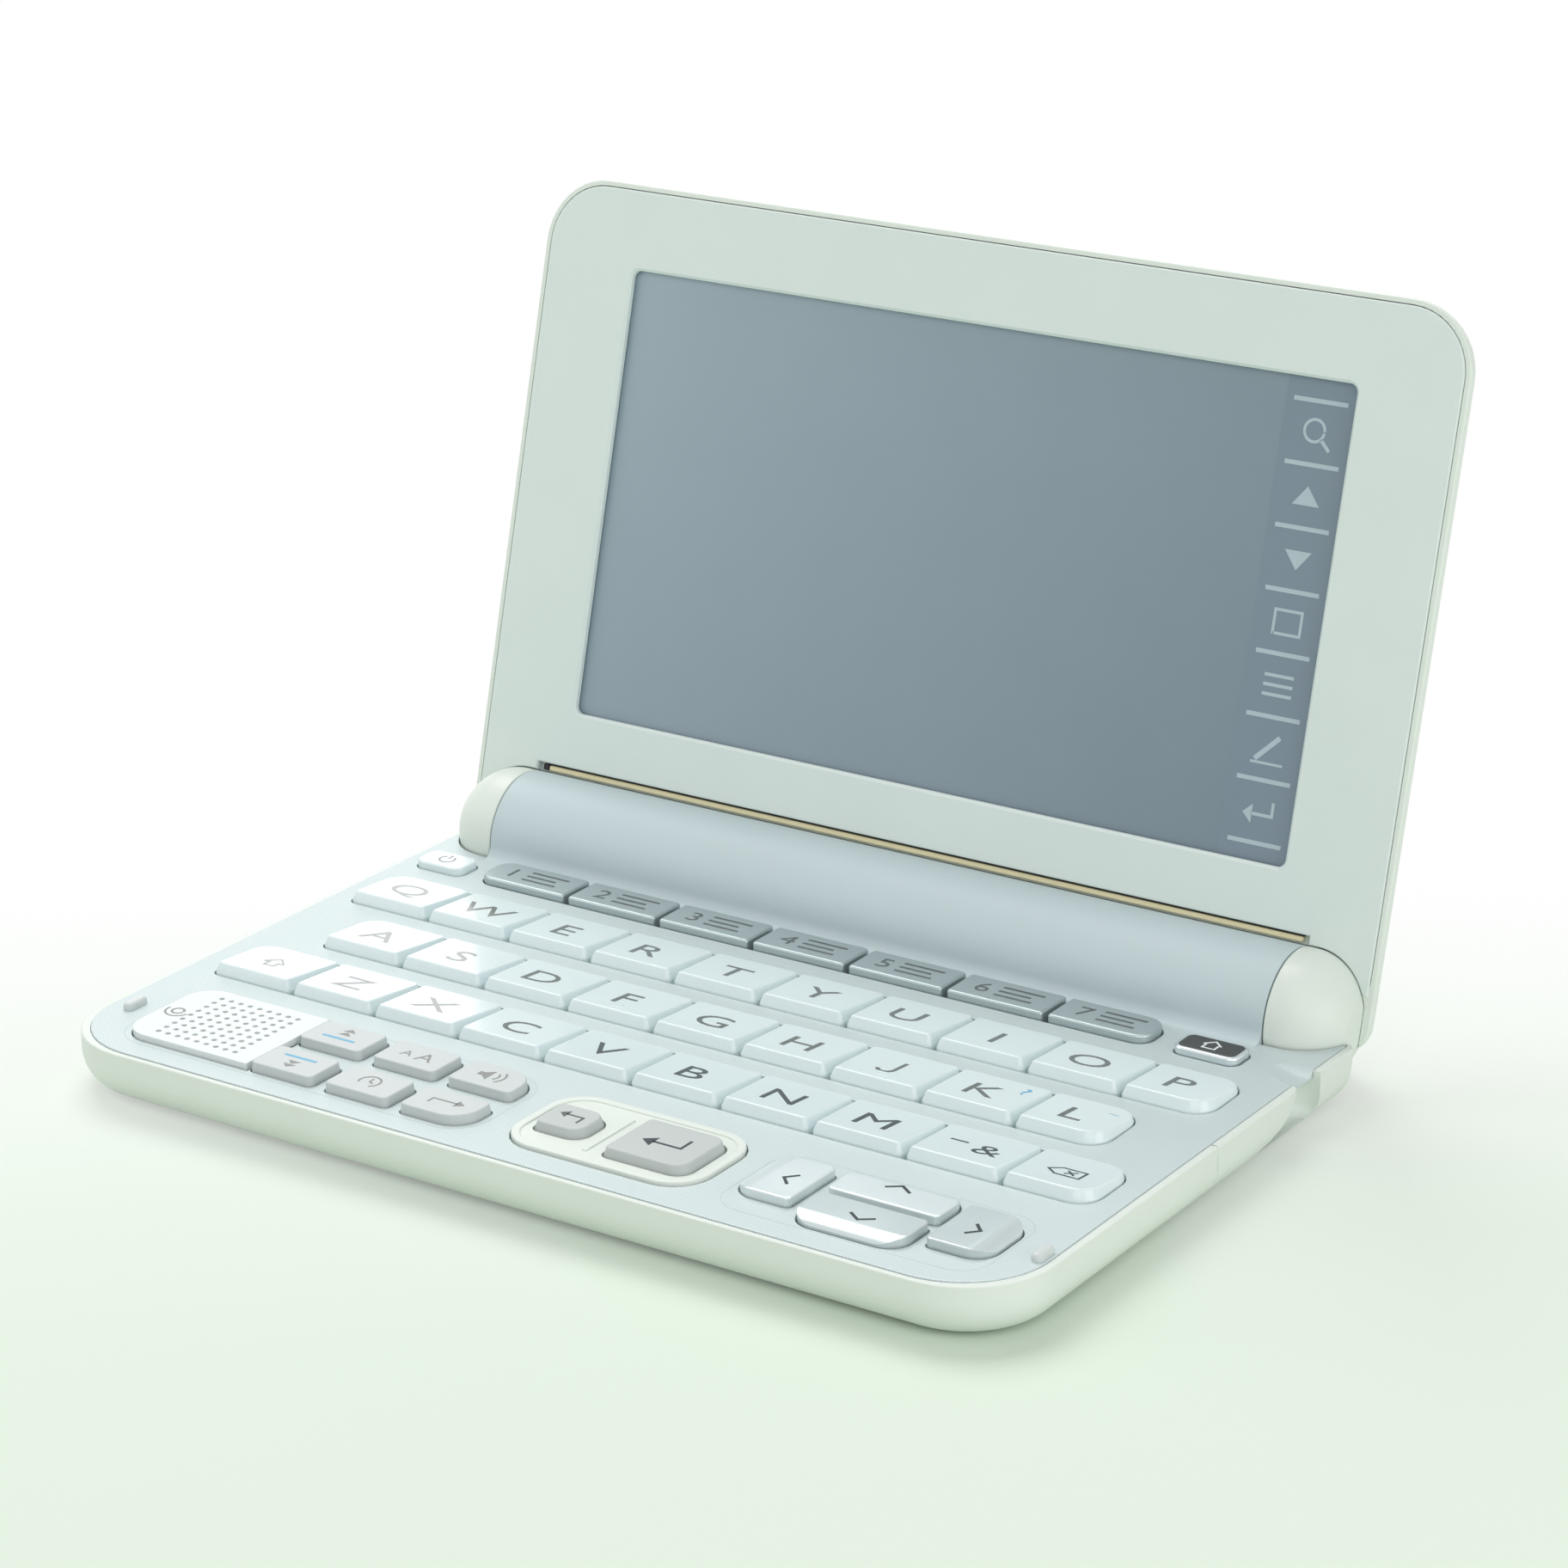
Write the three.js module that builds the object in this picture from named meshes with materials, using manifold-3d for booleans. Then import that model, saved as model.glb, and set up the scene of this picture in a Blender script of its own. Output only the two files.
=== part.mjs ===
// Electronic dictionary: a pocket-size clamshell with a touch screen in its lid
// Millimetres. +X is to the user's right, +Y to the rear, +Z up.
// The origin is the middle of the flat underside of the lower case.
import * as THREE from 'three';
import Module from 'manifold-3d';
import { mergeVertices } from 'three/addons/utils/BufferGeometryUtils.js';

const wasm = await Module();
wasm.setup();

// Clearances and one overrun for every cut
const GAP = 0.3;
const SEAM = 0.2;
const OVERRUN = 2;

// Base
const BODY_WIDTH = 148;
const BODY_DEPTH = 105;
const CASE_FRONT_INSET = 2.1;
const DECK_HEIGHT = 7.8;
const CASE_FLOOR = 1.2;
const CASE_WALL = 1.5;
const CASE_ROUNDING = 4.5;
const FRONT_CORNER_RADIUS = 12.5;
const SHOULDER_RADIUS = 5.5;
const NOSE_LENGTH = 4.8;
const NOSE_HEIGHT = 5.4;
const FOOT_RADIUS = 4;
const FOOT_HEIGHT = 0.4;
const FOOT_INSET = 14;
const DECK_THICKNESS = 1.2;
const DECK_SIDE_INSET = 0.7;
const DECK_FRONT_INSET = 3;
const DECK_CORNER_RADIUS = 12.2;
const BUMPER_WIDTH = 2;
const BUMPER_LENGTH = 3.4;
const BUMPER_HEIGHT = 1.7;
const BUMPER_INSET = 3.6;
const BUMPER_FROM_FRONT = 15.7;

// Hinge barrel: the silver hump between two ears that close its ends
const HINGE_ABOVE_DECK = 1.3;
const BARREL_RISE = 0.1;
const HUMP_WALL = 1.1;
const HUMP_FILLET = 2;
const HUMP_TO_SIDE = 10.85;
const EAR_LENGTH = 1.85;
const EAR_DOME_LENGTH = 8.1;
const EAR_TIP_RADIUS = 2.6;
const PIN_RADIUS = 1.6;
const PIN_BITE = 0.4;
const FRICTION_RADIUS = 4;
const FRICTION_LENGTH = 8.5;
const FRICTION_TO_SIDE = 7;
const LEG_SWING_GAP = 0.15;

// Lid
const LID_LEAN = THREE.MathUtils.degToRad(14.6);
const LID_FRONT_GAP = 0.4;
const LID_THICKNESS = 5.4;
const LID_SETBACK = 0.8;
const LID_CORNER_RADIUS = 9.7;
const LID_RIM = 0.9;
const LID_WALL = 1;
const LID_EDGE_ROUNDING = 5;
const LEG_END = 4;
const LEG_CORNER_RADIUS = 4;
const BEZEL_THICKNESS = 1.1;
const BEZEL_FOOT = 10.3;
const BEZEL_LEG_FOOT = 4;
const WINDOW_TO_SIDE = 15.8;
const WINDOW_FOOT = 18.4;
const WINDOW_TO_HEAD = 12.2;
const WINDOW_RADIUS = 1.2;
const WINDOW_CHAMFER = 0.4;
const PANEL_THICKNESS = 0.8;
const PANEL_MARGIN = 2.6;
const DISPLAY_THICKNESS = 1.6;
const DISPLAY_MARGIN = 3.6;
const TRAY_FOOT = 12.2;
const TRAY_SIDE = 4.4;

// Keys: all of them hang in the deck by a flange under its edge
const KEY_TRAVEL = 1.2;
const KEY_FLANGE = 0.7;
const FLANGE_THICKNESS = 0.8;
const KEY_GAP = 0.5;
const KEY_EDGE = 0.3;

// Letter keys: three rows, each in one slot
const LETTER_KEYS = 10;
const LETTER_ROW_MARGIN = 5.075;
const LETTER_LEFT_TRIM = 0.45;
const LETTER_RIGHT_TRIM = 1.2;
const LETTER_FRONT_HEIGHT = 1.66;
const LETTER_REAR_HEIGHT = 0.55;
const LETTER_NOSE = 0.85;
const LETTER_CORNER = 3.4;
const LETTER_NEAR_CORNER = 1.2;
const LETTER_ROWS = [
  { keys: ['q', 'w', 'e', 'r', 't', 'y', 'u', 'i', 'o', 'p'], shiftShare: -0.007 },
  { keys: ['a', 's', 'd', 'f', 'g', 'h', 'j', 'k', 'l'], shiftShare: 0.025 },
  { keys: ['shift', 'z', 'x', 'c', 'v', 'b', 'n', 'm', 'dash', 'delete'], shiftShare: 0.061 },
];

// Other keys
const PAD_COUNT = 7;
const PAD_HEIGHT = 1.1;
const PAD_GAP = 0.8;
const PAD_CORNER = 2.2;
const PAD_REAR_CORNER = 3;
const CORNER_KEY_RADIUS = 1.5;
const PAGE_HEIGHT = 1.3;
const PAGE_DRAFT = 0.35;
const PAGE_CORNER = 0.9;
const PAGE_OUTER_CORNER = 4;
const PAGE_KEYS = [['down', 'history', 'jump'], ['up', 'size', 'voice']];
const SURROUND_HEIGHT = 0.5;
const SURROUND_CORNER = 5.4;
const ENTER_HEIGHT = 1.5;
const ENTER_CORNER = 2.4;
const ARROW_HEIGHT = 1.25;
const ARROW_BEVEL = 2.2;
const ARROW_CORNER = 3.2;

// Loudspeaker grille and its driver
const GRILLE_HEIGHT = 0.85;
const GRILLE_CORNER = 4;
const GRILLE_SKIN = 0.8;
const GRILLE_RIM = 1.6;
const GRILLE_HOLES = 9;
const GRILLE_HOLE_RADIUS = 0.34;
const GRILLE_HOLE_SHIFT = 0.55;
const DRIVER_MARGIN = 1.3;

// Shares of the body's width, from the left, and of the key field's depth, from the front
const letterRowShares = { front: 0.728, pitch: 0.184, depth: 0.135 };
const pageKeyShares = { left: 0.21, pitch: 0.0825, width: 0.069, front: 0.087, rowPitch: 0.118, depth: 0.079 };
const grilleHolePitchShare = 0.0937;
const placeShares = {
  power: [0.026, 0.081, 0.917, 0.978],
  home: [0.875, 0.933, 0.917, 0.978],
  functionStrip: [0.104, 0.843, 0.917, 0.998],
  grille: [0.062, 0.207, 0.087, 0.292],
  surround: [0.478, 0.676, 0.086, 0.288],
  back: [0.494, 0.545, 0.14, 0.224],
  enter: [0.575, 0.66, 0.118, 0.249],
  left: [0.705, 0.763, 0.124, 0.254],
  right: [0.886, 0.944, 0.124, 0.254],
  up: [0.776, 0.873, 0.189, 0.277],
  down: [0.776, 0.873, 0.085, 0.174],
};

// Touch pen in the right side
const PEN_RADIUS = 1.35;
const PEN_TIP_RADIUS = 0.5;
const PEN_TIP_LENGTH = 6;
const PEN_FROM_SIDE = 2.6;
const PEN_AXIS_HEIGHT = 3.6;
const PEN_HEAD_LENGTH = 21;
const PEN_HEAD_TO_SHOULDER = 15.35;
const PEN_TIP_FROM_FRONT = 10.5;
const PEN_HEAD_DEPTH = 3.5;
const PEN_HEAD_FOOT = 1.5;
const PEN_TRAVEL = 5.5;
const SCOOP_RADIUS = 4.4;
const SCOOP_REACH = 8.6;
const SCOOP_RISE = 2.6;

// Inside the base
const BOARD_THICKNESS = 0.8;
const BOARD_MARGIN = 1;
const CHIP_HEIGHT = 0.4;
const CHIP_SIZE = 14;
const CHIP_SPACING = 30;
const MAT_THICKNESS = 0.6;
const MAT_DOME_HEIGHT = 0.5;
const MAT_DOME_RADIUS = 2;
const CELL_ROOM = 0.5;
const CELL_END_ROOM = 8;
const CELL_CAP_RADIUS = 2.75;
const CELL_CAP_LENGTH = 1;
const BAY_REAR_WALL = 1.4;
const BAY_FRONT_WALL = 1.3;
const COVER_OVERLAP = 3.5;
const COVER_BELOW_AXIS = 3.7;

// Places worked out from the sizes above
const halfWidth = BODY_WIDTH / 2;
const front = -BODY_DEPTH / 2;
const caseFront = front + CASE_FRONT_INSET;
const cavityCorner = FRONT_CORNER_RADIUS - CASE_WALL;
const hingeZ = DECK_HEIGHT + HINGE_ABOVE_DECK;
const barrelRadius = hingeZ - BARREL_RISE;
const hingeY = BODY_DEPTH / 2 - barrelRadius;
const deckUnder = DECK_HEIGHT - DECK_THICKNESS;
const flangeTop = deckUnder - GAP;
const flangeFoot = flangeTop - FLANGE_THICKNESS;
const shoulderY = hingeY - LEG_END - LEG_SWING_GAP;
const humpEnd = halfWidth - HUMP_TO_SIDE;
const earDomeStart = humpEnd + EAR_LENGTH;
const frictionEnd = halfWidth - FRICTION_TO_SIDE;
const frictionStart = frictionEnd - FRICTION_LENGTH;
const earTip = earDomeStart + EAR_DOME_LENGTH * Math.sqrt(1 - (EAR_TIP_RADIUS / barrelRadius) ** 2);
const penX = halfWidth - PEN_FROM_SIDE;
const penHeadRear = shoulderY - PEN_HEAD_TO_SHOULDER;
const penHeadFront = penHeadRear - PEN_HEAD_LENGTH;
const penFront = front + PEN_TIP_FROM_FRONT;
const penBore = PEN_RADIUS + GAP;
const penShaftEnd = penHeadFront + GAP;
const cavityRight = penX - penBore - GAP;
const cavityLeft = -halfWidth + CASE_WALL;
const cellLength = frictionStart - CELL_END_ROOM - CELL_CAP_LENGTH;
const cellBayEnd = cellLength + CELL_CAP_LENGTH + OVERRUN;
const cellBore = barrelRadius - BAY_REAR_WALL;
const cellRadius = cellBore - CELL_ROOM;
const bayWallY = hingeY - cellBore;
const cavityRear = bayWallY - BAY_FRONT_WALL;
const coverFront = bayWallY + GAP;
const coverHalfWidth = cellBayEnd + COVER_OVERLAP;
const boardFoot = CASE_FLOOR + GAP;
const boardTop = boardFoot + BOARD_THICKNESS;
const matFoot = boardTop + CHIP_HEIGHT + GAP;
const matTop = matFoot + MAT_THICKNESS;
const bezelFace = -LID_SETBACK;
const bezelBack = bezelFace - BEZEL_THICKNESS;
const panelFace = bezelBack - GAP;
const displayFace = panelFace - PANEL_THICKNESS - GAP;
const displayBack = displayFace - DISPLAY_THICKNESS;
const lidBack = bezelFace - LID_THICKNESS;
const bezelHalfWidth = halfWidth - LID_RIM;
const lidLength = hingeY - front - LID_FRONT_GAP;
const keyFieldDepth = hingeY - barrelRadius - HUMP_FILLET - front;
const letterTrims = LETTER_LEFT_TRIM + LETTER_RIGHT_TRIM;
const letterPitch = (BODY_WIDTH - 2 * LETTER_ROW_MARGIN + letterTrims) / LETTER_KEYS;

// Finishes
const finishes = {
  ivory: { color: 0xdde3d6, roughness: 0.42, metalness: 0 },
  silver: { color: 0xbcc8cb, roughness: 0.45, metalness: 0.35 },
  white: { color: 0xe6eef0, roughness: 0.25, metalness: 0 },
  brushed: { color: 0x9aa5a7, roughness: 0.35, metalness: 0.7 },
  polished: { color: 0xd2dada, roughness: 0.15, metalness: 0.8 },
  black: { color: 0x141516, roughness: 0.15, metalness: 0 },
  grey: { color: 0xa9a99f, roughness: 0.55, metalness: 0 },
  screen: { color: 0x8a9ba6, roughness: 0.2, metalness: 0 },
  glassy: { color: 0x93a4ae, roughness: 0.12, metalness: 0 },
  rubber: { color: 0x6f7474, roughness: 0.8, metalness: 0 },
  board: { color: 0x2f6b45, roughness: 0.5, metalness: 0 },
  steel: { color: 0xb4b8ba, roughness: 0.3, metalness: 0.9 },
  cell: { color: 0x35383c, roughness: 0.4, metalness: 0.3 },
};

// Solids: joining, cutting and back to a mesh

function solidOf(geometry) {
  const bare = geometry.clone();
  bare.deleteAttribute('normal');
  bare.deleteAttribute('uv');
  const merged = mergeVertices(bare);
  const vertProperties = new Float32Array(merged.attributes.position.array);
  const triVerts = new Uint32Array(merged.index.array);
  return new wasm.Manifold(new wasm.Mesh({ numProp: 3, vertProperties, triVerts }));
}

function joined(...solids) {
  return solids.reduce((whole, solid) => whole.add(solid));
}

function cut(solid, ...tools) {
  return tools.reduce((rest, tool) => rest.subtract(tool), solid);
}

function meshOf(name, solid, finish) {
  const source = solid.getMesh();
  const geometry = new THREE.BufferGeometry();
  geometry.setAttribute('position', new THREE.BufferAttribute(new Float32Array(source.vertProperties), 3));
  geometry.setIndex(new THREE.BufferAttribute(new Uint32Array(source.triVerts), 1));
  geometry.computeVertexNormals();
  const mesh = new THREE.Mesh(geometry, new THREE.MeshStandardMaterial(finish));
  mesh.name = name;
  return mesh;
}

// Plain shapes

function block(x0, x1, y0, y1, z0, z1) {
  const geometry = new THREE.BoxGeometry(x1 - x0, y1 - y0, z1 - z0);
  geometry.translate((x0 + x1) / 2, (y0 + y1) / 2, (z0 + z1) / 2);
  return solidOf(geometry);
}

// Round bar along X, given as [x, radius] pairs that start and end on its axis
function turned(profile, y, z, segments = 32) {
  const points = profile.map(([x, radius]) => new THREE.Vector2(radius, x));
  const geometry = new THREE.LatheGeometry(points, segments);
  geometry.rotateZ(-Math.PI / 2);
  return solidOf(geometry).translate([0, y, z]);
}

function bar(x0, x1, radius, y, z, segments = 32) {
  return turned([[x0, 0], [x0, radius], [x1, radius], [x1, 0]], y, z, segments);
}

function post(x, y, z0, z1, radius, segments) {
  const geometry = new THREE.CylinderGeometry(radius, radius, z1 - z0, segments);
  geometry.rotateX(Math.PI / 2);
  geometry.translate(x, y, (z0 + z1) / 2);
  return solidOf(geometry);
}

function egg(x, y, z, radius, reach) {
  const geometry = new THREE.SphereGeometry(radius, 20, 12);
  geometry.scale(reach / radius, 1, 1);
  geometry.translate(x, y, z);
  return solidOf(geometry);
}

// A (y, z) outline drawn out along X
function drawnAlongX(shape, x0, x1, segments) {
  const geometry = new THREE.ExtrudeGeometry(shape, { depth: x1 - x0, bevelEnabled: false, curveSegments: segments });
  geometry.rotateX(Math.PI / 2);
  geometry.rotateZ(Math.PI / 2);
  geometry.translate(x0, 0, 0);
  return solidOf(geometry);
}

// Corner-rounded rectangle, drawn in by inset. Radii run front left, front right, rear right, rear left.
function ring(box, inset, segments) {
  const { x0, x1, y0, y1, radii } = box;
  const corners = [
    [x0, y0, 1, 1, Math.PI],
    [x1, y0, -1, 1, Math.PI * 1.5],
    [x1, y1, -1, -1, 0],
    [x0, y1, 1, -1, Math.PI / 2],
  ];
  const points = [];
  corners.forEach(([x, y, inwardX, inwardY, start], index) => {
    const radius = radii[index];
    const steps = radius > 0 ? segments : 0;
    const kept = Math.max(radius - inset, radius * 0.1);
    const centreX = x + inwardX * (inset + kept);
    const centreY = y + inwardY * (inset + kept);
    for (let step = 0; step <= steps; step += 1) {
      const angle = start + (steps ? (step / steps) * (Math.PI / 2) : 0);
      const reach = radius > 0 ? kept : 0;
      points.push(new THREE.Vector2(centreX + reach * Math.cos(angle), centreY + reach * Math.sin(angle)));
    }
  });
  return points;
}

// Layers of one outline, each [height, inset], where a height may be a function of the point
function layered(box, levels, segments = 3) {
  const rings = levels.map(([, inset]) => ring(box, inset, segments));
  const count = rings[0].length;
  const positions = [];
  rings.forEach((points, level) => {
    const height = levels[level][0];
    points.forEach((point) => {
      positions.push(point.x, point.y, typeof height === 'function' ? height(point) : height);
    });
  });
  const faces = [];
  for (let level = 0; level + 1 < rings.length; level += 1) {
    for (let index = 0; index < count; index += 1) {
      const next = (index + 1) % count;
      const low = level * count;
      const high = low + count;
      faces.push(low + index, low + next, high + next, low + index, high + next, high + index);
    }
  }
  THREE.ShapeUtils.triangulateShape(rings[0], []).forEach(([a, b, c]) => faces.push(c, b, a));
  const top = (rings.length - 1) * count;
  THREE.ShapeUtils.triangulateShape(rings[rings.length - 1], []).forEach(([a, b, c]) => {
    faces.push(top + a, top + b, top + c);
  });
  const geometry = new THREE.BufferGeometry();
  geometry.setAttribute('position', new THREE.Float32BufferAttribute(positions, 3));
  geometry.setIndex(faces);
  return solidOf(geometry);
}

function plate(box, z0, z1, segments = 3) {
  return layered(box, [[z0, 0], [z1, 0]], segments);
}

function grown(box, margin) {
  return {
    x0: box.x0 - margin,
    x1: box.x1 + margin,
    y0: box.y0 - margin,
    y1: box.y1 + margin,
    radii: box.radii.map((radius) => (radius > 0 ? radius + margin : 0)),
  };
}

// Quarter round between an outline's side and its flat face, as [height, inset] levels
function quarterRound(side, face, radius, steps, height) {
  const direction = Math.sign(side - face);
  const levels = [];
  for (let step = 0; step <= steps; step += 1) {
    const angle = (step / steps) * (Math.PI / 2);
    const rise = (1 - Math.sin(angle)) * height;
    levels.push([face + direction * rise, radius * (1 - Math.cos(angle))]);
  }
  return levels;
}

// Barrel and ears: the same outline serves the ears, their deck seam and the lid's cut

function earProfile(start, growth) {
  const profile = [[start, 0], [start, barrelRadius + growth], [earDomeStart, barrelRadius + growth]];
  const steps = 6;
  const end = Math.acos((EAR_TIP_RADIUS + growth) / (barrelRadius + growth));
  for (let step = 1; step <= steps; step += 1) {
    const angle = (step / steps) * end;
    const x = earDomeStart + (EAR_DOME_LENGTH + growth) * Math.sin(angle);
    profile.push([x, (barrelRadius + growth) * Math.cos(angle)]);
  }
  profile.push([earTip + growth, 0]);
  return profile;
}

function mirrored(profile) {
  return profile.map(([x, radius]) => [-x, radius]).reverse();
}

function bothEars(growth, start) {
  const profile = earProfile(start, growth);
  const right = turned(profile, hingeY, hingeZ);
  const left = turned(mirrored(profile), hingeY, hingeZ);
  return [right, left];
}

// Base

const panBox = {
  x0: -halfWidth,
  x1: halfWidth,
  y0: caseFront,
  y1: shoulderY,
  radii: [FRONT_CORNER_RADIUS, FRONT_CORNER_RADIUS, SHOULDER_RADIUS, SHOULDER_RADIUS],
};
const rimTop = DECK_HEIGHT - SEAM;

function noseCut() {
  const shape = new THREE.Shape();
  shape.moveTo(caseFront - OVERRUN, -OVERRUN);
  shape.lineTo(caseFront + NOSE_LENGTH, -OVERRUN);
  shape.lineTo(caseFront + NOSE_LENGTH, 0);
  shape.absellipse(caseFront + NOSE_LENGTH, NOSE_HEIGHT, NOSE_LENGTH, NOSE_HEIGHT, -Math.PI / 2, -Math.PI, true);
  shape.lineTo(caseFront - OVERRUN, NOSE_HEIGHT);
  return drawnAlongX(shape, -halfWidth - OVERRUN, halfWidth + OVERRUN, 7);
}

function panSolid() {
  const levels = quarterRound(CASE_ROUNDING, 0, CASE_ROUNDING, 4, CASE_ROUNDING).reverse();
  levels.push([rimTop - KEY_EDGE, 0], [rimTop, KEY_EDGE]);
  return cut(layered(panBox, levels, 6), noseCut());
}

function cavity() {
  const box = {
    x0: cavityLeft,
    x1: cavityRight,
    y0: caseFront + CASE_WALL * 2,
    y1: cavityRear,
    radii: [cavityCorner, cavityCorner, CASE_WALL, CASE_WALL],
  };
  return plate(box, CASE_FLOOR, DECK_HEIGHT + OVERRUN, 4);
}

function cavityNose() {
  const box = {
    x0: cavityLeft + FRONT_CORNER_RADIUS,
    x1: cavityRight - FRONT_CORNER_RADIUS,
    y0: caseFront + CASE_WALL,
    y1: caseFront + NOSE_LENGTH,
    radii: [0, 0, 0, 0],
  };
  return plate(box, NOSE_HEIGHT, DECK_HEIGHT + OVERRUN);
}

const deckBox = {
  x0: -halfWidth + DECK_SIDE_INSET,
  x1: halfWidth - DECK_SIDE_INSET,
  y0: front + DECK_FRONT_INSET,
  y1: shoulderY - DECK_SIDE_INSET,
  radii: [
    DECK_CORNER_RADIUS,
    DECK_CORNER_RADIUS,
    SHOULDER_RADIUS - DECK_SIDE_INSET,
    SHOULDER_RADIUS - DECK_SIDE_INSET,
  ],
};

function penChannel(z0, z1) {
  const x0 = halfWidth - PEN_HEAD_DEPTH - GAP;
  return block(x0, halfWidth + OVERRUN, penHeadFront - GAP, penHeadRear + PEN_TRAVEL + GAP, z0, z1);
}

function barAlongY(x, y0, y1, z, radius, tipRadius, tipLength) {
  const profile = [[y0, 0], [y0, tipRadius], [y0 + tipLength, radius], [y1, radius], [y1, 0]];
  const points = profile.map(([y, reach]) => new THREE.Vector2(reach, y));
  return solidOf(new THREE.LatheGeometry(points, 16)).translate([x, 0, z]);
}

const footInsetX = halfWidth - FOOT_INSET;
const footPlaces = [
  [-footInsetX, front + FOOT_INSET],
  [footInsetX, front + FOOT_INSET],
  [-footInsetX, bayWallY - FOOT_INSET],
  [footInsetX, bayWallY - FOOT_INSET],
];

function lowerCase() {
  const reach = barrelRadius + OVERRUN;
  const neck = block(-earDomeStart, earDomeStart, cavityRear, hingeY, 0, flangeTop);
  const rearWall = cut(
    bar(-earDomeStart, earDomeStart, barrelRadius, hingeY, hingeZ),
    block(-halfWidth, halfWidth, hingeY - reach, hingeY, hingeZ - reach, hingeZ + reach),
    block(-halfWidth, halfWidth, hingeY - reach, hingeY + reach, hingeZ, hingeZ + reach),
  );
  const ears = bothEars(0, humpEnd + SEAM);
  const feet = footPlaces.map(([x, y]) => post(x, y, -FOOT_HEIGHT, CASE_FLOOR / 2, FOOT_RADIUS, 16));
  const outer = joined(panSolid(), neck, rearWall, ...ears, ...feet);
  const frictionBore = FRICTION_RADIUS + GAP;
  const pinBore = PIN_RADIUS + GAP;
  const hingeBores = [1, -1].flatMap((side) => {
    const stops = [frictionStart - GAP, frictionEnd + GAP, earTip + OVERRUN].map((x) => x * side);
    return [
      bar(Math.min(stops[0], stops[1]), Math.max(stops[0], stops[1]), frictionBore, hingeY, hingeZ, 20),
      bar(Math.min(stops[0], stops[2]), Math.max(stops[0], stops[2]), pinBore, hingeY, hingeZ, 20),
    ];
  });
  const seat = layered(
    { ...grown(deckBox, SEAM), y1: deckBox.y1 + SEAM },
    [[deckUnder, 0], [DECK_HEIGHT + OVERRUN, 0]],
    6,
  );
  const seatClear = cut(seat, ...bothEars(0, humpEnd + SEAM));
  const bay = joined(
    bar(-cellBayEnd, cellBayEnd, cellBore, hingeY, hingeZ),
    block(-cellBayEnd, cellBayEnd, bayWallY, hingeY, CASE_FLOOR, hingeZ),
  );
  const coverReach = coverHalfWidth + GAP;
  const coverCuts = [
    block(-coverReach, coverReach, bayWallY, hingeY, -OVERRUN, CASE_FLOOR + GAP),
    block(-coverReach, coverReach, hingeY, hingeY + reach, -OVERRUN, hingeZ - COVER_BELOW_AXIS + GAP),
  ];
  const siloEnd = penShaftEnd + PEN_TRAVEL + GAP;
  const silo = barAlongY(penX, penFront - GAP, siloEnd, PEN_AXIS_HEIGHT, penBore, penBore, GAP);
  return cut(
    outer,
    cavity(),
    cavityNose(),
    seatClear,
    bay,
    ...coverCuts,
    ...hingeBores,
    silo,
    penChannel(PEN_HEAD_FOOT - GAP, DECK_HEIGHT + OVERRUN),
  );
}

// Deck cover with the hump

function humpShape() {
  const filletZ = DECK_HEIGHT + HUMP_FILLET;
  const span = barrelRadius + HUMP_FILLET;
  const rise = filletZ - hingeZ;
  const filletY = hingeY - Math.sqrt(span ** 2 - rise ** 2);
  const meet = Math.atan2(rise, filletY - hingeY);
  const inner = barrelRadius - HUMP_WALL;
  const innerFoot = Math.PI + Math.asin((hingeZ - deckUnder) / inner);
  const shape = new THREE.Shape();
  shape.moveTo(filletY, DECK_HEIGHT);
  shape.absarc(filletY, filletZ, HUMP_FILLET, -Math.PI / 2, meet - Math.PI, false);
  shape.absarc(hingeY, hingeZ, barrelRadius, meet, SEAM / barrelRadius, true);
  shape.absarc(hingeY, hingeZ, inner, SEAM / inner, innerFoot, false);
  shape.lineTo(filletY - HUMP_WALL, deckUnder);
  shape.lineTo(filletY - HUMP_WALL, DECK_HEIGHT);
  return shape;
}

// A place on the deck from its shares
function place(name, radii) {
  const [left, right, near, far] = placeShares[name];
  return {
    x0: -halfWidth + left * BODY_WIDTH,
    x1: -halfWidth + right * BODY_WIDTH,
    y0: front + near * keyFieldDepth,
    y1: front + far * keyFieldDepth,
    radii,
  };
}

function rowBox(row) {
  const spec = LETTER_ROWS[row];
  const half = (spec.keys.length * letterPitch) / 2;
  const y0 = front + (letterRowShares.front - row * letterRowShares.pitch) * keyFieldDepth;
  const y1 = y0 + letterRowShares.depth * keyFieldDepth;
  const middle = spec.shiftShare * letterPitch;
  const x0 = middle - half + LETTER_LEFT_TRIM;
  const x1 = middle + half - LETTER_RIGHT_TRIM;
  const radii = [LETTER_NEAR_CORNER, LETTER_CORNER, LETTER_CORNER, LETTER_CORNER];
  return { x0, x1, y0, y1, radii };
}

function pageBox(row, column) {
  const radii = Array(4).fill(PAGE_CORNER);
  if (column === 2) radii[row === 0 ? 1 : 2] = PAGE_OUTER_CORNER;
  const x0 = -halfWidth + (pageKeyShares.left + column * pageKeyShares.pitch) * BODY_WIDTH;
  const y0 = front + (pageKeyShares.front + row * pageKeyShares.rowPitch) * keyFieldDepth;
  const x1 = x0 + pageKeyShares.width * BODY_WIDTH;
  return { x0, x1, y0, y1: y0 + pageKeyShares.depth * keyFieldDepth, radii };
}

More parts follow.
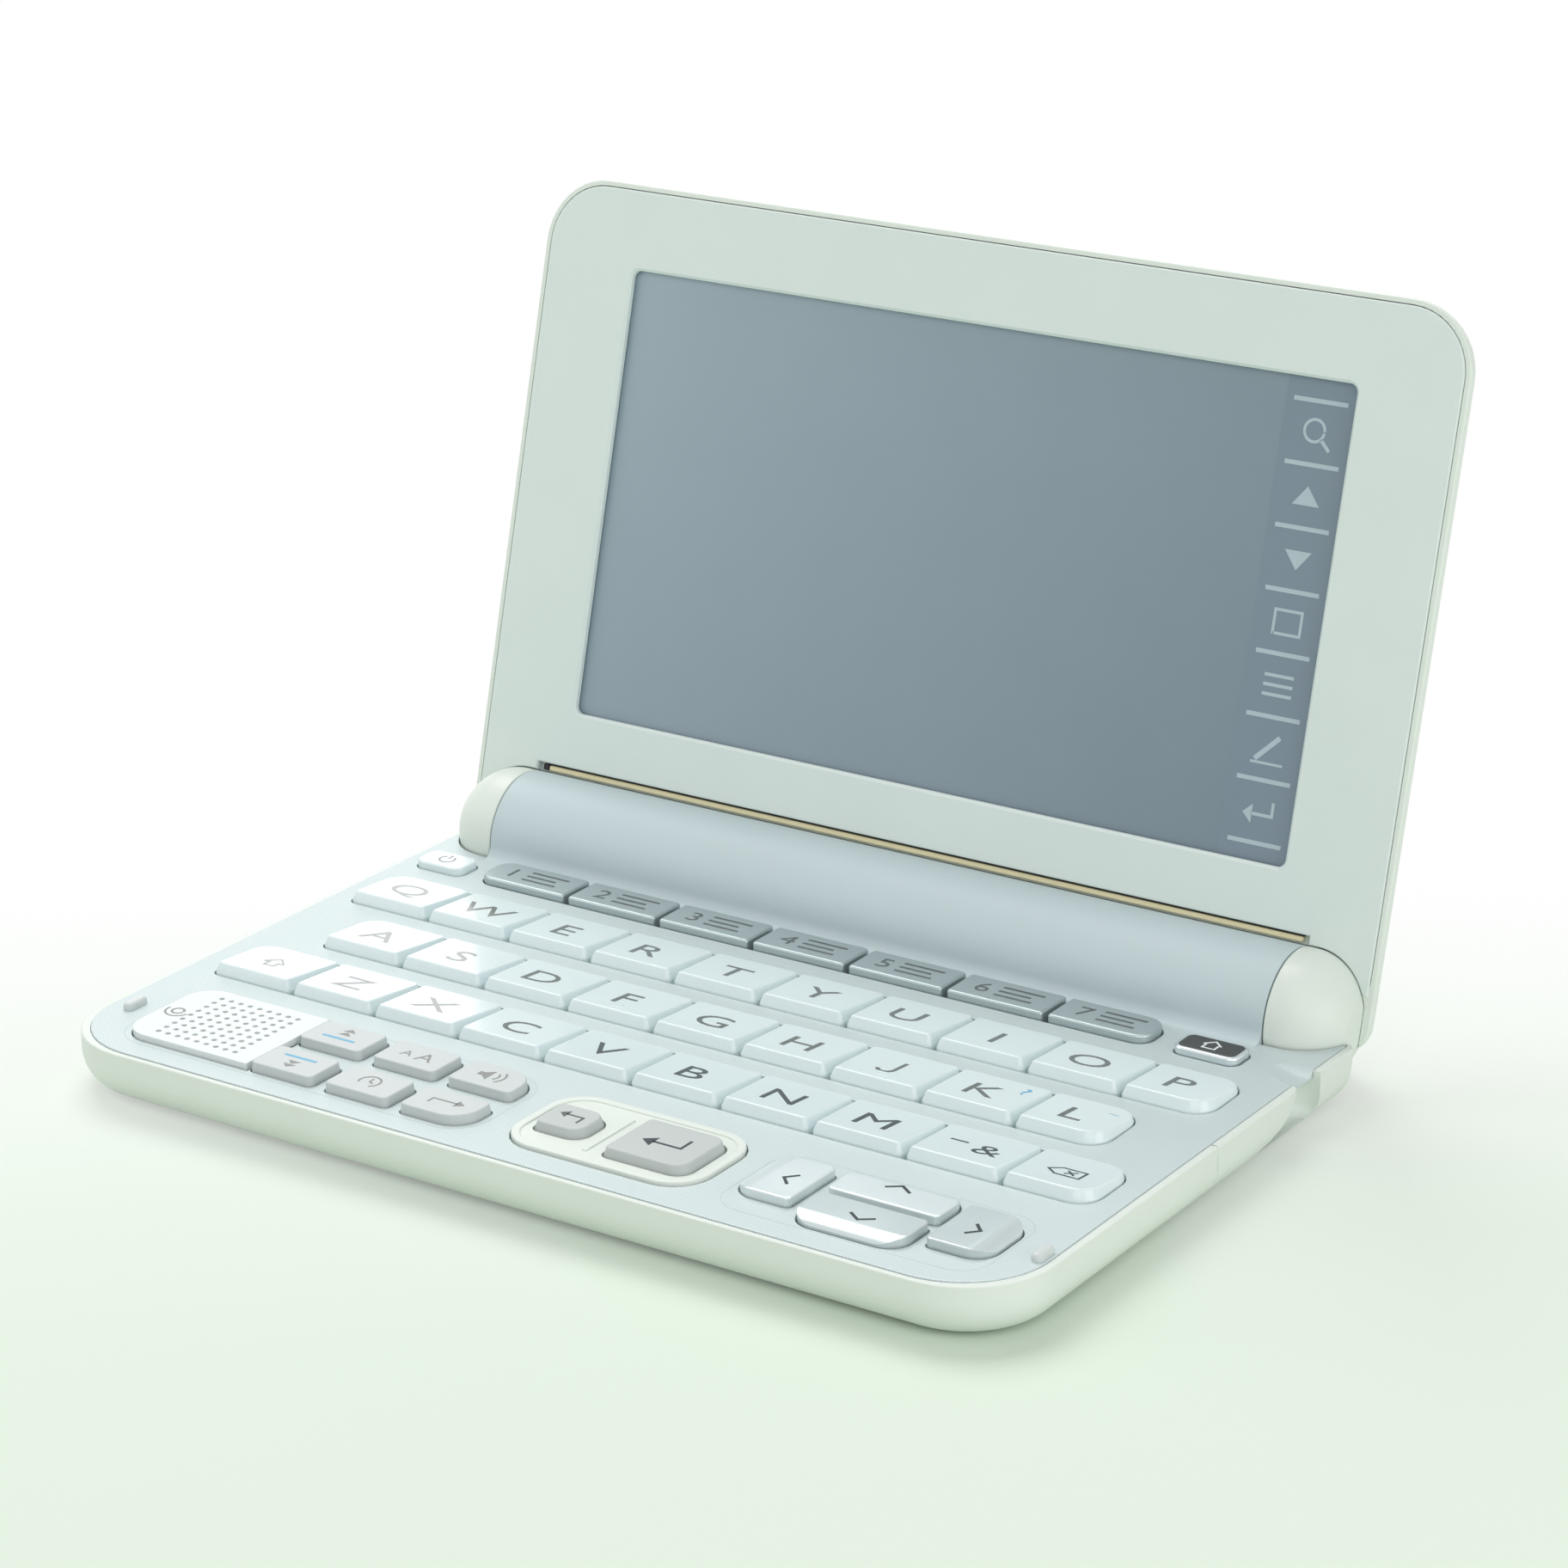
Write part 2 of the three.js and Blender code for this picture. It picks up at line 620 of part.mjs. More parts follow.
const stripBox = place('functionStrip', [PAD_CORNER, PAD_CORNER, PAD_REAR_CORNER, PAD_CORNER]);
const powerBox = place('power', Array(4).fill(CORNER_KEY_RADIUS));
const homeBox = place('home', Array(4).fill(CORNER_KEY_RADIUS));
const grilleBox = place('grille', [GRILLE_CORNER, 0, 0, GRILLE_CORNER]);
const surroundBox = place('surround', Array(4).fill(SURROUND_CORNER));
const enterRadii = [ENTER_CORNER / 2, ENTER_CORNER, ENTER_CORNER, ENTER_CORNER / 2];
const backBox = place('back', enterRadii);
const enterBox = place('enter', enterRadii);
const pageBoxes = PAGE_KEYS.flatMap((names, row) => names.map((_, column) => pageBox(row, column)));

const small = ARROW_CORNER / 4;
const arrowBoxes = {
  left: place('left', [ARROW_CORNER, small, small, ARROW_CORNER]),
  right: place('right', [small, ARROW_CORNER, ARROW_CORNER, small]),
  up: place('up', [small, small, ARROW_CORNER, ARROW_CORNER]),
  down: place('down', [ARROW_CORNER, ARROW_CORNER, small, small]),
};

function middleOf(box) {
  return [(box.x0 + box.x1) / 2, (box.y0 + box.y1) / 2];
}

function deckOpenings() {
  const rows = LETTER_ROWS.map((_, row) => rowBox(row));
  const boxes = [
    ...rows,
    stripBox,
    powerBox,
    homeBox,
    ...pageBoxes,
    grilleBox,
    surroundBox,
    ...Object.values(arrowBoxes),
  ];
  return boxes.map((box) => plate(grown(box, SEAM), deckUnder - OVERRUN, DECK_HEIGHT + OVERRUN));
}

function bumper(side) {
  const x = side * (halfWidth - BUMPER_INSET);
  const y = front + BUMPER_FROM_FRONT;
  const box = {
    x0: x - BUMPER_WIDTH / 2,
    x1: x + BUMPER_WIDTH / 2,
    y0: y - BUMPER_LENGTH / 2,
    y1: y + BUMPER_LENGTH / 2,
    radii: Array(4).fill(BUMPER_WIDTH / 2 - KEY_EDGE / 2),
  };
  const head = DECK_HEIGHT + BUMPER_HEIGHT;
  return layered(box, [[deckUnder, 0], [head - KEY_EDGE, 0], [head, KEY_EDGE]]);
}

function deckCover() {
  const top = layered(deckBox, [[deckUnder, 0], [DECK_HEIGHT - KEY_EDGE, 0], [DECK_HEIGHT, KEY_EDGE]], 6);
  const behind = block(-humpEnd, humpEnd, hingeY - cellBore, shoulderY + OVERRUN, 0, hingeZ);
  const trimmed = cut(top, behind, ...bothEars(SEAM + GAP / 2, humpEnd));
  const hump = drawnAlongX(humpShape(), -humpEnd, humpEnd, 14);
  const scoopY = penHeadRear + PEN_TRAVEL / 2;
  const scoop = egg(halfWidth - SEAM, scoopY, DECK_HEIGHT + SCOOP_RISE, SCOOP_RADIUS, SCOOP_REACH);
  return cut(joined(trimmed, hump, bumper(-1), bumper(1)), scoop, ...deckOpenings());
}

// Keys

// A key's flange reaches under the deck at two opposite sides
function keyFlange(box, acrossX) {
  const outX = acrossX ? KEY_FLANGE : 0;
  const outY = acrossX ? 0 : KEY_FLANGE;
  return block(box.x0 - outX, box.x1 + outX, box.y0 - outY, box.y1 + outY, flangeFoot, flangeTop);
}

function keyCap(box, height, draft, acrossX = false) {
  const head = DECK_HEIGHT + height;
  const levels = [
    [flangeFoot, 0],
    [head - KEY_EDGE, draft],
    [head, draft + KEY_EDGE],
  ];
  return joined(layered(box, levels), keyFlange(box, acrossX));
}

function letterStart(whole, column) {
  return whole.x0 - LETTER_LEFT_TRIM + column * letterPitch;
}

function letterKey(row, column) {
  const whole = rowBox(row);
  const count = LETTER_ROWS[row].keys.length;
  const first = column === 0;
  const last = column === count - 1;
  const start = letterStart(whole, column);
  const x0 = first ? whole.x0 : start + KEY_GAP / 2;
  const x1 = last ? whole.x1 : start + letterPitch - KEY_GAP / 2;
  const box = { x0, x1, y0: whole.y0, y1: whole.y1, radii: [0, 0, 0, 0] };
  const [nearLeft, nearRight, farRight, farLeft] = whole.radii;
  if (first) box.radii = [nearLeft, 0, 0, farLeft];
  if (last) box.radii = [0, nearRight, farRight, 0];
  const slope = (LETTER_FRONT_HEIGHT - LETTER_REAR_HEIGHT) / (box.y1 - box.y0);
  const topAt = (drop) => (point) => {
    const fromFront = point.y - box.y0;
    const wedge = DECK_HEIGHT + LETTER_FRONT_HEIGHT - fromFront * slope;
    return wedge - drop;
  };
  const levels = [
    [flangeFoot, 0],
    [topAt(LETTER_NOSE), 0],
    [topAt(KEY_EDGE), KEY_EDGE],
    [topAt(0), LETTER_NOSE],
  ];
  return joined(layered(box, levels, 3), keyFlange(box, false));
}

function padBox(index) {
  const pitch = (stripBox.x1 - stripBox.x0 + PAD_GAP) / PAD_COUNT;
  const x0 = stripBox.x0 + index * pitch;
  const radii = Array(4).fill(small);
  if (index === 0) [radii[0], , , radii[3]] = stripBox.radii;
  if (index === PAD_COUNT - 1) [, radii[1], radii[2]] = stripBox.radii;
  return { x0, x1: x0 + pitch - PAD_GAP, y0: stripBox.y0, y1: stripBox.y1, radii };
}

function functionStrip() {
  const bridge = plate(grown(stripBox, KEY_FLANGE), flangeFoot, flangeTop, 1);
  const head = DECK_HEIGHT + PAD_HEIGHT;
  const levels = [[flangeFoot, 0], [head - KEY_EDGE, 0], [head, KEY_EDGE]];
  const pads = Array.from({ length: PAD_COUNT }, (_, index) => layered(padBox(index), levels, 2));
  return joined(bridge, ...pads);
}

function arrowKey(direction) {
  const box = arrowBoxes[direction];
  const cap = keyCap(box, ARROW_HEIGHT, 0, direction === 'up' || direction === 'down');
  return cut(cap, arrowBevel(direction, box));
}

// The outer edge of an arrow key falls away in one broad bevel
function arrowBevel(direction, box) {
  const width = box.x1 - box.x0;
  const depth = box.y1 - box.y0;
  const long = width + depth;
  const fall = Math.atan2(ARROW_HEIGHT - KEY_EDGE, ARROW_BEVEL);
  const geometry = new THREE.BoxGeometry(long, long, long);
  geometry.translate(-long / 2, 0, long / 2);
  geometry.rotateY(-fall);
  const turns = { left: 0, down: Math.PI / 2, right: Math.PI, up: -Math.PI / 2 };
  geometry.translate(ARROW_BEVEL, 0, 0);
  geometry.rotateZ(turns[direction]);
  const [middleX, middleY] = middleOf(box);
  const edge = {
    left: [box.x0, middleY],
    right: [box.x1, middleY],
    down: [middleX, box.y0],
    up: [middleX, box.y1],
  }[direction];
  geometry.translate(edge[0], edge[1], DECK_HEIGHT + ARROW_HEIGHT);
  return solidOf(geometry);
}

// Loudspeaker

function speakerGrille() {
  const head = DECK_HEIGHT + GRILLE_HEIGHT;
  const body = layered(grilleBox, [
    [flangeFoot, 0],
    [head - KEY_EDGE, 0],
    [head, KEY_EDGE],
  ], 4);
  const pocketBox = grown(grilleBox, -GRILLE_RIM);
  const pocket = plate(pocketBox, flangeFoot - OVERRUN, head - GRILLE_SKIN, 2);
  const [middleX, middleY] = middleOf(grilleBox);
  const pitch = grilleHolePitchShare * (grilleBox.y1 - grilleBox.y0);
  const offset = ((GRILLE_HOLES - 1) / 2) * pitch;
  const holes = [];
  for (let row = 0; row < GRILLE_HOLES; row += 1) {
    for (let column = 0; column < GRILLE_HOLES; column += 1) {
      const x = middleX + GRILLE_HOLE_SHIFT - offset + column * pitch;
      const y = middleY - offset + row * pitch;
      holes.push(post(x, y, deckUnder, head + OVERRUN, GRILLE_HOLE_RADIUS, 4));
    }
  }
  return cut(body, pocket, joined(...holes));
}

const driverRadius = (grilleBox.y1 - grilleBox.y0) / 2 - DRIVER_MARGIN;

function speakerDriver() {
  const [x, y] = middleOf(grilleBox);
  const foot = boardTop + GAP;
  const magnetRadius = driverRadius / 2;
  const head = flangeFoot - SEAM;
  const magnetHeight = (head - foot) / 3;
  const magnet = post(x, y, foot, foot + magnetHeight + MAT_THICKNESS, magnetRadius, 20);
  const frame = post(x, y, foot + magnetHeight, head, driverRadius, 28);
  return joined(magnet, frame);
}

// Enter key group

function enterSurround() {
  const head = DECK_HEIGHT + SURROUND_HEIGHT;
  const frame = layered(surroundBox, [
    [flangeFoot, -KEY_FLANGE],
    [flangeTop, -KEY_FLANGE],
    [flangeTop, 0],
    [head - KEY_EDGE, 0],
    [head, KEY_EDGE * 2],
  ], 4);
  const holes = [backBox, enterBox].map((box) => plate(grown(box, SEAM), flangeTop, head + OVERRUN));
  const pockets = [backBox, enterBox].map((box) => (
    plate(grown(box, KEY_FLANGE + GAP), flangeFoot - OVERRUN, flangeTop, 2)
  ));
  return cut(frame, ...holes, ...pockets);
}

function surroundedKey(box) {
  const head = DECK_HEIGHT + ENTER_HEIGHT;
  const flangeHead = flangeTop - GAP;
  return layered(box, [
    [flangeFoot, -KEY_FLANGE],
    [flangeHead, -KEY_FLANGE],
    [flangeHead, 0],
    [head - KEY_EDGE, PAGE_DRAFT],
    [head, PAGE_DRAFT + KEY_EDGE],
  ]);
}

// Inside the base

function innerBox(margin) {
  return {
    x0: cavityLeft + margin,
    x1: cavityRight - margin,
    y0: caseFront + CASE_WALL * 2 + margin,
    y1: cavityRear - margin,
    radii: [cavityCorner, cavityCorner, CASE_WALL, CASE_WALL],
  };
}

function mainBoard() {
  const sheet = plate(innerBox(BOARD_MARGIN), boardFoot, boardTop, 4);
  const chips = [-1, 0, 1].map((place) => {
    const x = place * CHIP_SPACING;
    return block(x - CHIP_SIZE / 2, x + CHIP_SIZE / 2, 0, CHIP_SIZE, boardTop - GAP, boardTop + CHIP_HEIGHT);
  });
  return joined(sheet, ...chips);
}

function keyMiddles() {
  const letters = LETTER_ROWS.flatMap((spec, row) => {
    const whole = rowBox(row);
    const middleY = middleOf(whole)[1];
    return spec.keys.map((_, column) => [letterStart(whole, column) + letterPitch / 2, middleY]);
  });
  const pads = Array.from({ length: PAD_COUNT }, (_, index) => middleOf(padBox(index)));
  const others = [powerBox, homeBox, ...pageBoxes, backBox, enterBox, ...Object.values(arrowBoxes)];
  return [...letters, ...pads, ...others.map(middleOf)];
}

function keyMat() {
  const sheet = plate(innerBox(BOARD_MARGIN * 2), matFoot, matTop, 3);
  const domes = keyMiddles().map(([x, y]) => (
    post(x, y, matTop - MAT_THICKNESS / 2, matTop + MAT_DOME_HEIGHT, MAT_DOME_RADIUS, 4)
  ));
  const [x, y] = middleOf(grilleBox);
  const room = post(x, y, 0, DECK_HEIGHT, driverRadius + GAP * 2, 20);
  return cut(joined(sheet, ...domes), room);
}

function batteryCells() {
  const start = -cellLength - CELL_CAP_LENGTH;
  const middle = start + cellLength;
  const profile = [
    [start, 0],
    [start, cellRadius],
    [middle, cellRadius],
    [middle, CELL_CAP_RADIUS],
    [0, CELL_CAP_RADIUS],
    [0, cellRadius],
    [cellLength, cellRadius],
    [cellLength, CELL_CAP_RADIUS],
    [cellLength + CELL_CAP_LENGTH, CELL_CAP_RADIUS],
    [cellLength + CELL_CAP_LENGTH, 0],
  ];
  return turned(profile, hingeY, hingeZ, 24);
}

// The battery cover is the rear of the underside, curved up behind the barrel
function batteryCover() {
  const outer = barrelRadius;
  const inner = cellBore + SEAM;
  const outerEnd = -Math.asin(COVER_BELOW_AXIS / outer);
  const innerEnd = -Math.asin(COVER_BELOW_AXIS / inner);
  const foot = hingeZ - barrelRadius;
  const shape = new THREE.Shape();
  shape.moveTo(coverFront, foot);
  shape.absarc(hingeY, hingeZ, outer, -Math.PI / 2, outerEnd, false);
  shape.absarc(hingeY, hingeZ, inner, innerEnd, -Math.PI / 2, true);
  shape.lineTo(coverFront, hingeZ - inner);
  return drawnAlongX(shape, -coverHalfWidth, coverHalfWidth, 8);
}

// Touch pen: its head carries on the line of the right side
function pen() {
  const x0 = halfWidth - PEN_HEAD_DEPTH;
  const head = panSolid().intersect(
    block(x0, halfWidth + OVERRUN, penHeadFront, penHeadRear, PEN_HEAD_FOOT, DECK_HEIGHT),
  );
  const deckRoom = block(
    0,
    deckBox.x1 + SEAM,
    penHeadFront - OVERRUN,
    penHeadRear + OVERRUN,
    deckUnder - GAP,
    DECK_HEIGHT + OVERRUN,
  );
  const shaft = barAlongY(
    penX,
    penFront,
    penShaftEnd,
    PEN_AXIS_HEIGHT,
    PEN_RADIUS,
    PEN_TIP_RADIUS,
    PEN_TIP_LENGTH,
  );
  return joined(cut(head, deckRoom), shaft);
}

// Hinge pins: a friction barrel in the ear and a pin into the lid's cheek
function hingePin(side) {
  const end = earTip + GAP + PIN_BITE;
  const profile = [
    [frictionStart, 0],
    [frictionStart, FRICTION_RADIUS],
    [frictionEnd, FRICTION_RADIUS],
    [frictionEnd, PIN_RADIUS],
    [end, PIN_RADIUS],
    [end, 0],
  ];
  return turned(side > 0 ? profile : mirrored(profile), 0, 0, 20);
}

// Lid, drawn flat: X across, Y from the hinge axis up the lid, Z out of the screen

const lidBox = {
  x0: -halfWidth,
  x1: halfWidth,
  y0: -LEG_END,
  y1: lidLength,
  radii: [LEG_CORNER_RADIUS, LEG_CORNER_RADIUS, LID_CORNER_RADIUS, LID_CORNER_RADIUS],
};

const bezelBox = {
  x0: -bezelHalfWidth,
  x1: bezelHalfWidth,
  y0: BEZEL_LEG_FOOT,
  y1: lidLength - LID_RIM,
  radii: [0, 0, LID_CORNER_RADIUS - LID_RIM, LID_CORNER_RADIUS - LID_RIM],
};

const windowBox = {
  x0: -halfWidth + WINDOW_TO_SIDE,
  x1: halfWidth - WINDOW_TO_SIDE,
  y0: WINDOW_FOOT,
  y1: lidLength - WINDOW_TO_HEAD,
  radii: Array(4).fill(WINDOW_RADIUS),
};

function lidEarCuts(growth) {
  return bothEars(growth, -OVERRUN).map((solid) => solid.translate([0, -hingeY, -hingeZ]));
}

function lidPinHoles() {
  return [1, -1].map((side) => {
    const ends = [0, side * (earTip + GAP + PIN_BITE + GAP)].sort((a, b) => a - b);
    return bar(ends[0], ends[1], PIN_RADIUS + GAP, 0, 0, 20);
  });
}

function lidBezel() {
  const face = layered(bezelBox, [[bezelBack, 0], [bezelFace - KEY_EDGE, 0], [bezelFace, KEY_EDGE]], 6);
  const opening = layered(windowBox, [
    [bezelBack - OVERRUN, 0],
    [bezelFace - WINDOW_CHAMFER, 0],
    [bezelFace, -WINDOW_CHAMFER],
    [bezelFace + OVERRUN, -WINDOW_CHAMFER],
  ], 3);
  const notch = block(
    -humpEnd - GAP,
    humpEnd + GAP,
    -lidLength,
    BEZEL_FOOT,
    bezelBack - OVERRUN,
    bezelFace + OVERRUN,
  );
  return cut(face, opening, notch, ...lidEarCuts(GAP));
}

function lidBackCover() {
  const rim = bezelFace - SEAM;
  const levels = quarterRound(rim, lidBack, LID_EDGE_ROUNDING, 4, rim - lidBack).reverse();
  const shell = layered(lidBox, levels, 6);
  const seatBox = grown(bezelBox, SEAM);
  const seat = plate(seatBox, bezelBack - SEAM, bezelFace + OVERRUN, 6);
  const tray = {
    x0: -halfWidth + TRAY_SIDE,
    x1: halfWidth - TRAY_SIDE,
    y0: TRAY_FOOT,
    y1: lidLength - TRAY_SIDE,
    radii: Array(4).fill(LID_CORNER_RADIUS - TRAY_SIDE),
  };
  const hollow = plate(tray, lidBack + LID_WALL, bezelFace + OVERRUN, 4);
  return cut(shell, seat, hollow, ...lidEarCuts(GAP), ...lidPinHoles());
}

function touchPanel() {
  const box = grown(windowBox, PANEL_MARGIN);
  return plate(box, panelFace - PANEL_THICKNESS, panelFace, 2);
}

function displayModule() {
  const box = grown(windowBox, DISPLAY_MARGIN);
  return plate(box, displayBack, displayFace, 2);
}

// Assembly

const dictionary = new THREE.Group();
const lid = new THREE.Group();
lid.position.set(0, hingeY, hingeZ);
lid.rotation.x = Math.PI / 2 - LID_LEAN;
dictionary.add(lid);

function add(name, solid, finish, parent = dictionary) {
  parent.add(meshOf(name, solid, finishes[finish]));
}

add('lower_case', lowerCase(), 'ivory');
add('deck_cover', deckCover(), 'silver');
add('main_board', mainBoard(), 'board');
add('key_mat', keyMat(), 'rubber');
add('battery_cells', batteryCells(), 'cell');
add('battery_cover', batteryCover(), 'ivory');
add('speaker_grille', speakerGrille(), 'white');
add('speaker_driver', speakerDriver(), 'steel');
add('enter_key_surround', enterSurround(), 'ivory');
add('touch_pen', pen(), 'ivory');

LETTER_ROWS.forEach((spec, row) => {
  spec.keys.forEach((name, column) => add(`key_${name}`, letterKey(row, column), 'white'));
});
add('function_key_strip', functionStrip(), 'brushed');
add('key_power', keyCap(powerBox, PAD_HEIGHT, 0), 'white');
add('key_home', keyCap(homeBox, PAD_HEIGHT, 0), 'black');
PAGE_KEYS.forEach((names, row) => {
  names.forEach((name, column) => {
    add(`key_page_${name}`, keyCap(pageBox(row, column), PAGE_HEIGHT, PAGE_DRAFT), 'grey');
  });
});
add('key_back', surroundedKey(backBox), 'grey');
add('key_enter', surroundedKey(enterBox), 'grey');
Object.keys(arrowBoxes).forEach((direction) => add(`key_arrow_${direction}`, arrowKey(direction), 'polished'));

add('lid_back_cover', lidBackCover(), 'ivory', lid);
add('lid_bezel', lidBezel(), 'ivory', lid);
add('touch_panel', touchPanel(), 'glassy', lid);
add('display_module', displayModule(), 'screen', lid);
add('hinge_pin_left', hingePin(-1), 'steel', lid);
add('hinge_pin_right', hingePin(1), 'steel', lid);

export default dictionary;
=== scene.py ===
"""Electronic dictionary: a pocket-size clamshell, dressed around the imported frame.

Sizes are in millimetres, +X to the user's right, +Y to the rear and +Z up, with the origin
in the middle of the flat underside. Meshes are turned into metres when they are made.
"""

import logging
import math
from collections.abc import Callable, Iterable, Sequence
from dataclasses import dataclass
from enum import Enum

import bmesh
import bpy
from mathutils import Matrix, Vector
from mathutils.geometry import tessellate_polygon


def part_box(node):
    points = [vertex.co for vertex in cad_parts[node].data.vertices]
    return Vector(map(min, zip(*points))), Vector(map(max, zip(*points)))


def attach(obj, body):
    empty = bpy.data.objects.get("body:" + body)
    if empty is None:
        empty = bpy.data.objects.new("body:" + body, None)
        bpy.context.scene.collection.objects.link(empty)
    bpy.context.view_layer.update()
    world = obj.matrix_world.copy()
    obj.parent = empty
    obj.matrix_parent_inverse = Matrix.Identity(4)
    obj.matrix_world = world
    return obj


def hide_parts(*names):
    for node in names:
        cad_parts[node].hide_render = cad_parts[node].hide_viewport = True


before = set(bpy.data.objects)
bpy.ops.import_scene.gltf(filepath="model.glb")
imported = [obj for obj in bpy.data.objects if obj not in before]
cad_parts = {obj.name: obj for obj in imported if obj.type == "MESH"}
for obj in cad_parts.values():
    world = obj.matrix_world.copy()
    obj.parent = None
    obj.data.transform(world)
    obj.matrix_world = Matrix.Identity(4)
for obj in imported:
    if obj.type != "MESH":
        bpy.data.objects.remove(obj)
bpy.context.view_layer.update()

LOG = logging.getLogger("dictionary")
MM = 0.001

Point2 = tuple[float, float]
Point3 = tuple[float, float, float]
Colour = tuple[float, float, float]
Height = Callable[[Point2], float]

# Heights and places that several pieces share
DECK_TOP = 7.8
DECK_UNDER = 6.6
FLANGE_FOOT = 5.5
FLANGE_TOP = 6.3
SEAM = 0.2
HALF_WIDTH = 74.0
FRONT = -50.4
SHOULDER = 41.1
HINGE_Y = 43.5
HINGE_Z = 9.1
BARREL_RADIUS = 9.0
HUMP_END = 63.15
HUMP_EDGE = 0.15
EAR_START = 65.0
EAR_LENGTH = 8.1
EAR_TIP_RADIUS = 2.6
LID_LEAN = math.radians(14.6)
LEVEL = 0.9999995
WELD = 0.0005


# Outlines and meshes


@dataclass(frozen=True)
class Plan:
    """A rectangle with rounded corners, seen from above.

    The radii run front left, front right, rear right, rear left.
    """

    x0: float
    x1: float
    y0: float
    y1: float
    radii: tuple[float, float, float, float] = (0.0, 0.0, 0.0, 0.0)

    @classmethod
    def of(cls, node: str, radii: Sequence[float], flange: Point2 = (0.0, 0.0)) -> "Plan":
        """Takes the outline of a CAD node, less the reach of its flange.

        Args:
            node: The node's name.
            radii: The four corner radii.
            flange: How far the flange stands out in x and in y.

        Returns:
            The node's outline.
        """
        low, high = (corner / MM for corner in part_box(node))
        reach_x, reach_y = flange
        return cls(low.x + reach_x, high.x - reach_x, low.y + reach_y, high.y - reach_y, tuple(radii))

    @property
    def middle(self) -> Point2:
        """The middle of the outline."""
        return (self.x0 + self.x1) / 2, (self.y0 + self.y1) / 2

    def grown(self, margin: float) -> "Plan":
        """Returns the outline moved outwards by a margin."""
        radii = tuple(radius + margin if radius > 0 else 0.0 for radius in self.radii)
        return Plan(self.x0 - margin, self.x1 + margin, self.y0 - margin, self.y1 + margin, radii)

    def stretched(self, left: float, right: float) -> "Plan":
        """Returns the outline with its left and right edges moved along X."""
        return Plan(self.x0 + left, self.x1 + right, self.y0, self.y1, self.radii)

    def holds(self, point: Point2) -> bool:
        """Tells whether a point lies within the outline's box."""
        return self.x0 < point[0] < self.x1 and self.y0 < point[1] < self.y1

    def ring(self, inset: float = 0.0, segments: int = 8) -> list[Point2]:
        """Points round the outline, anticlockwise, drawn in by an inset.

        Args:
            inset: How far the outline is drawn in.
            segments: Steps in each rounded corner.

        Returns:
            The points, as many for every inset.
        """
        corners = (
            (self.x0, self.y0, 1, 1, math.pi),
            (self.x1, self.y0, -1, 1, math.pi * 1.5),
            (self.x1, self.y1, -1, -1, 0.0),
            (self.x0, self.y1, 1, -1, math.pi / 2),
        )
        points = []
        for (x, y, inward_x, inward_y, start), radius in zip(corners, self.radii):
            steps = segments if radius > 0 else 0
            kept = max(radius - inset, radius * 0.1)
            centre_x = x + inward_x * (inset + kept)
            centre_y = y + inward_y * (inset + kept)
            for step in range(steps + 1):
                angle = start + (step / steps * math.pi / 2 if steps else 0.0)
                points.append((centre_x + kept * math.cos(angle), centre_y + kept * math.sin(angle)))
        return points


def oblong(x0: float, y0: float, x1: float, y1: float) -> list[Point2]:
    """Corners of a rectangle, anticlockwise."""
    return [(x0, y0), (x1, y0), (x1, y1), (x0, y1)]


def mirrored(points: Sequence[Point2]) -> list[Point2]:
    """Points with their x turned round, in the other order."""
    return [(-x, y) for x, y in reversed(points)]


def circle(middle: Point2, radius: float, segments: int = 16) -> list[Point2]:
    """Points round a circle, anticlockwise."""
    turns = (step / segments * math.tau for step in range(segments))
    return [(middle[0] + radius * math.cos(a), middle[1] + radius * math.sin(a)) for a in turns]


def moved_in(loop: Sequence[Point2], distance: float) -> list[Point2]:
    """Moves an anticlockwise loop inwards, corner by corner.

    Args:
        loop: The loop's points.
        distance: How far it moves in; outwards where it is negative.

    Returns:
        The moved points.
    """
    found = []
    for index, here in enumerate(loop):
        before, after = Vector(loop[index - 1]), Vector(loop[(index + 1) % len(loop)])
        middle = Vector(here)
        one, two = (middle - before).normalized(), (after - middle).normalized()
        normal_one, normal_two = Vector((-one.y, one.x)), Vector((-two.y, two.x))
        mitre = (normal_one + normal_two) / max(1.0 + normal_one.dot(normal_two), 0.2)
        found.append(tuple(middle + mitre * distance))
    return found


def round_over(head: float, radius: float, steps: int = 4, start: float = 0.0) -> list[Point2]:
    """Levels of a rounded upper edge, as (height, inset), from the side up to the face.

    Args:
        head: The height of the face.
        radius: The edge's radius.
        steps: Steps in the rounding.
        start: The inset of the side that the rounding starts from.

    Returns:
        The levels.
    """
    turns = [step / steps * math.pi / 2 for step in range(steps + 1)]
    return [(head - radius * (1 - math.sin(a)), start + radius * (1 - math.cos(a))) for a in turns]


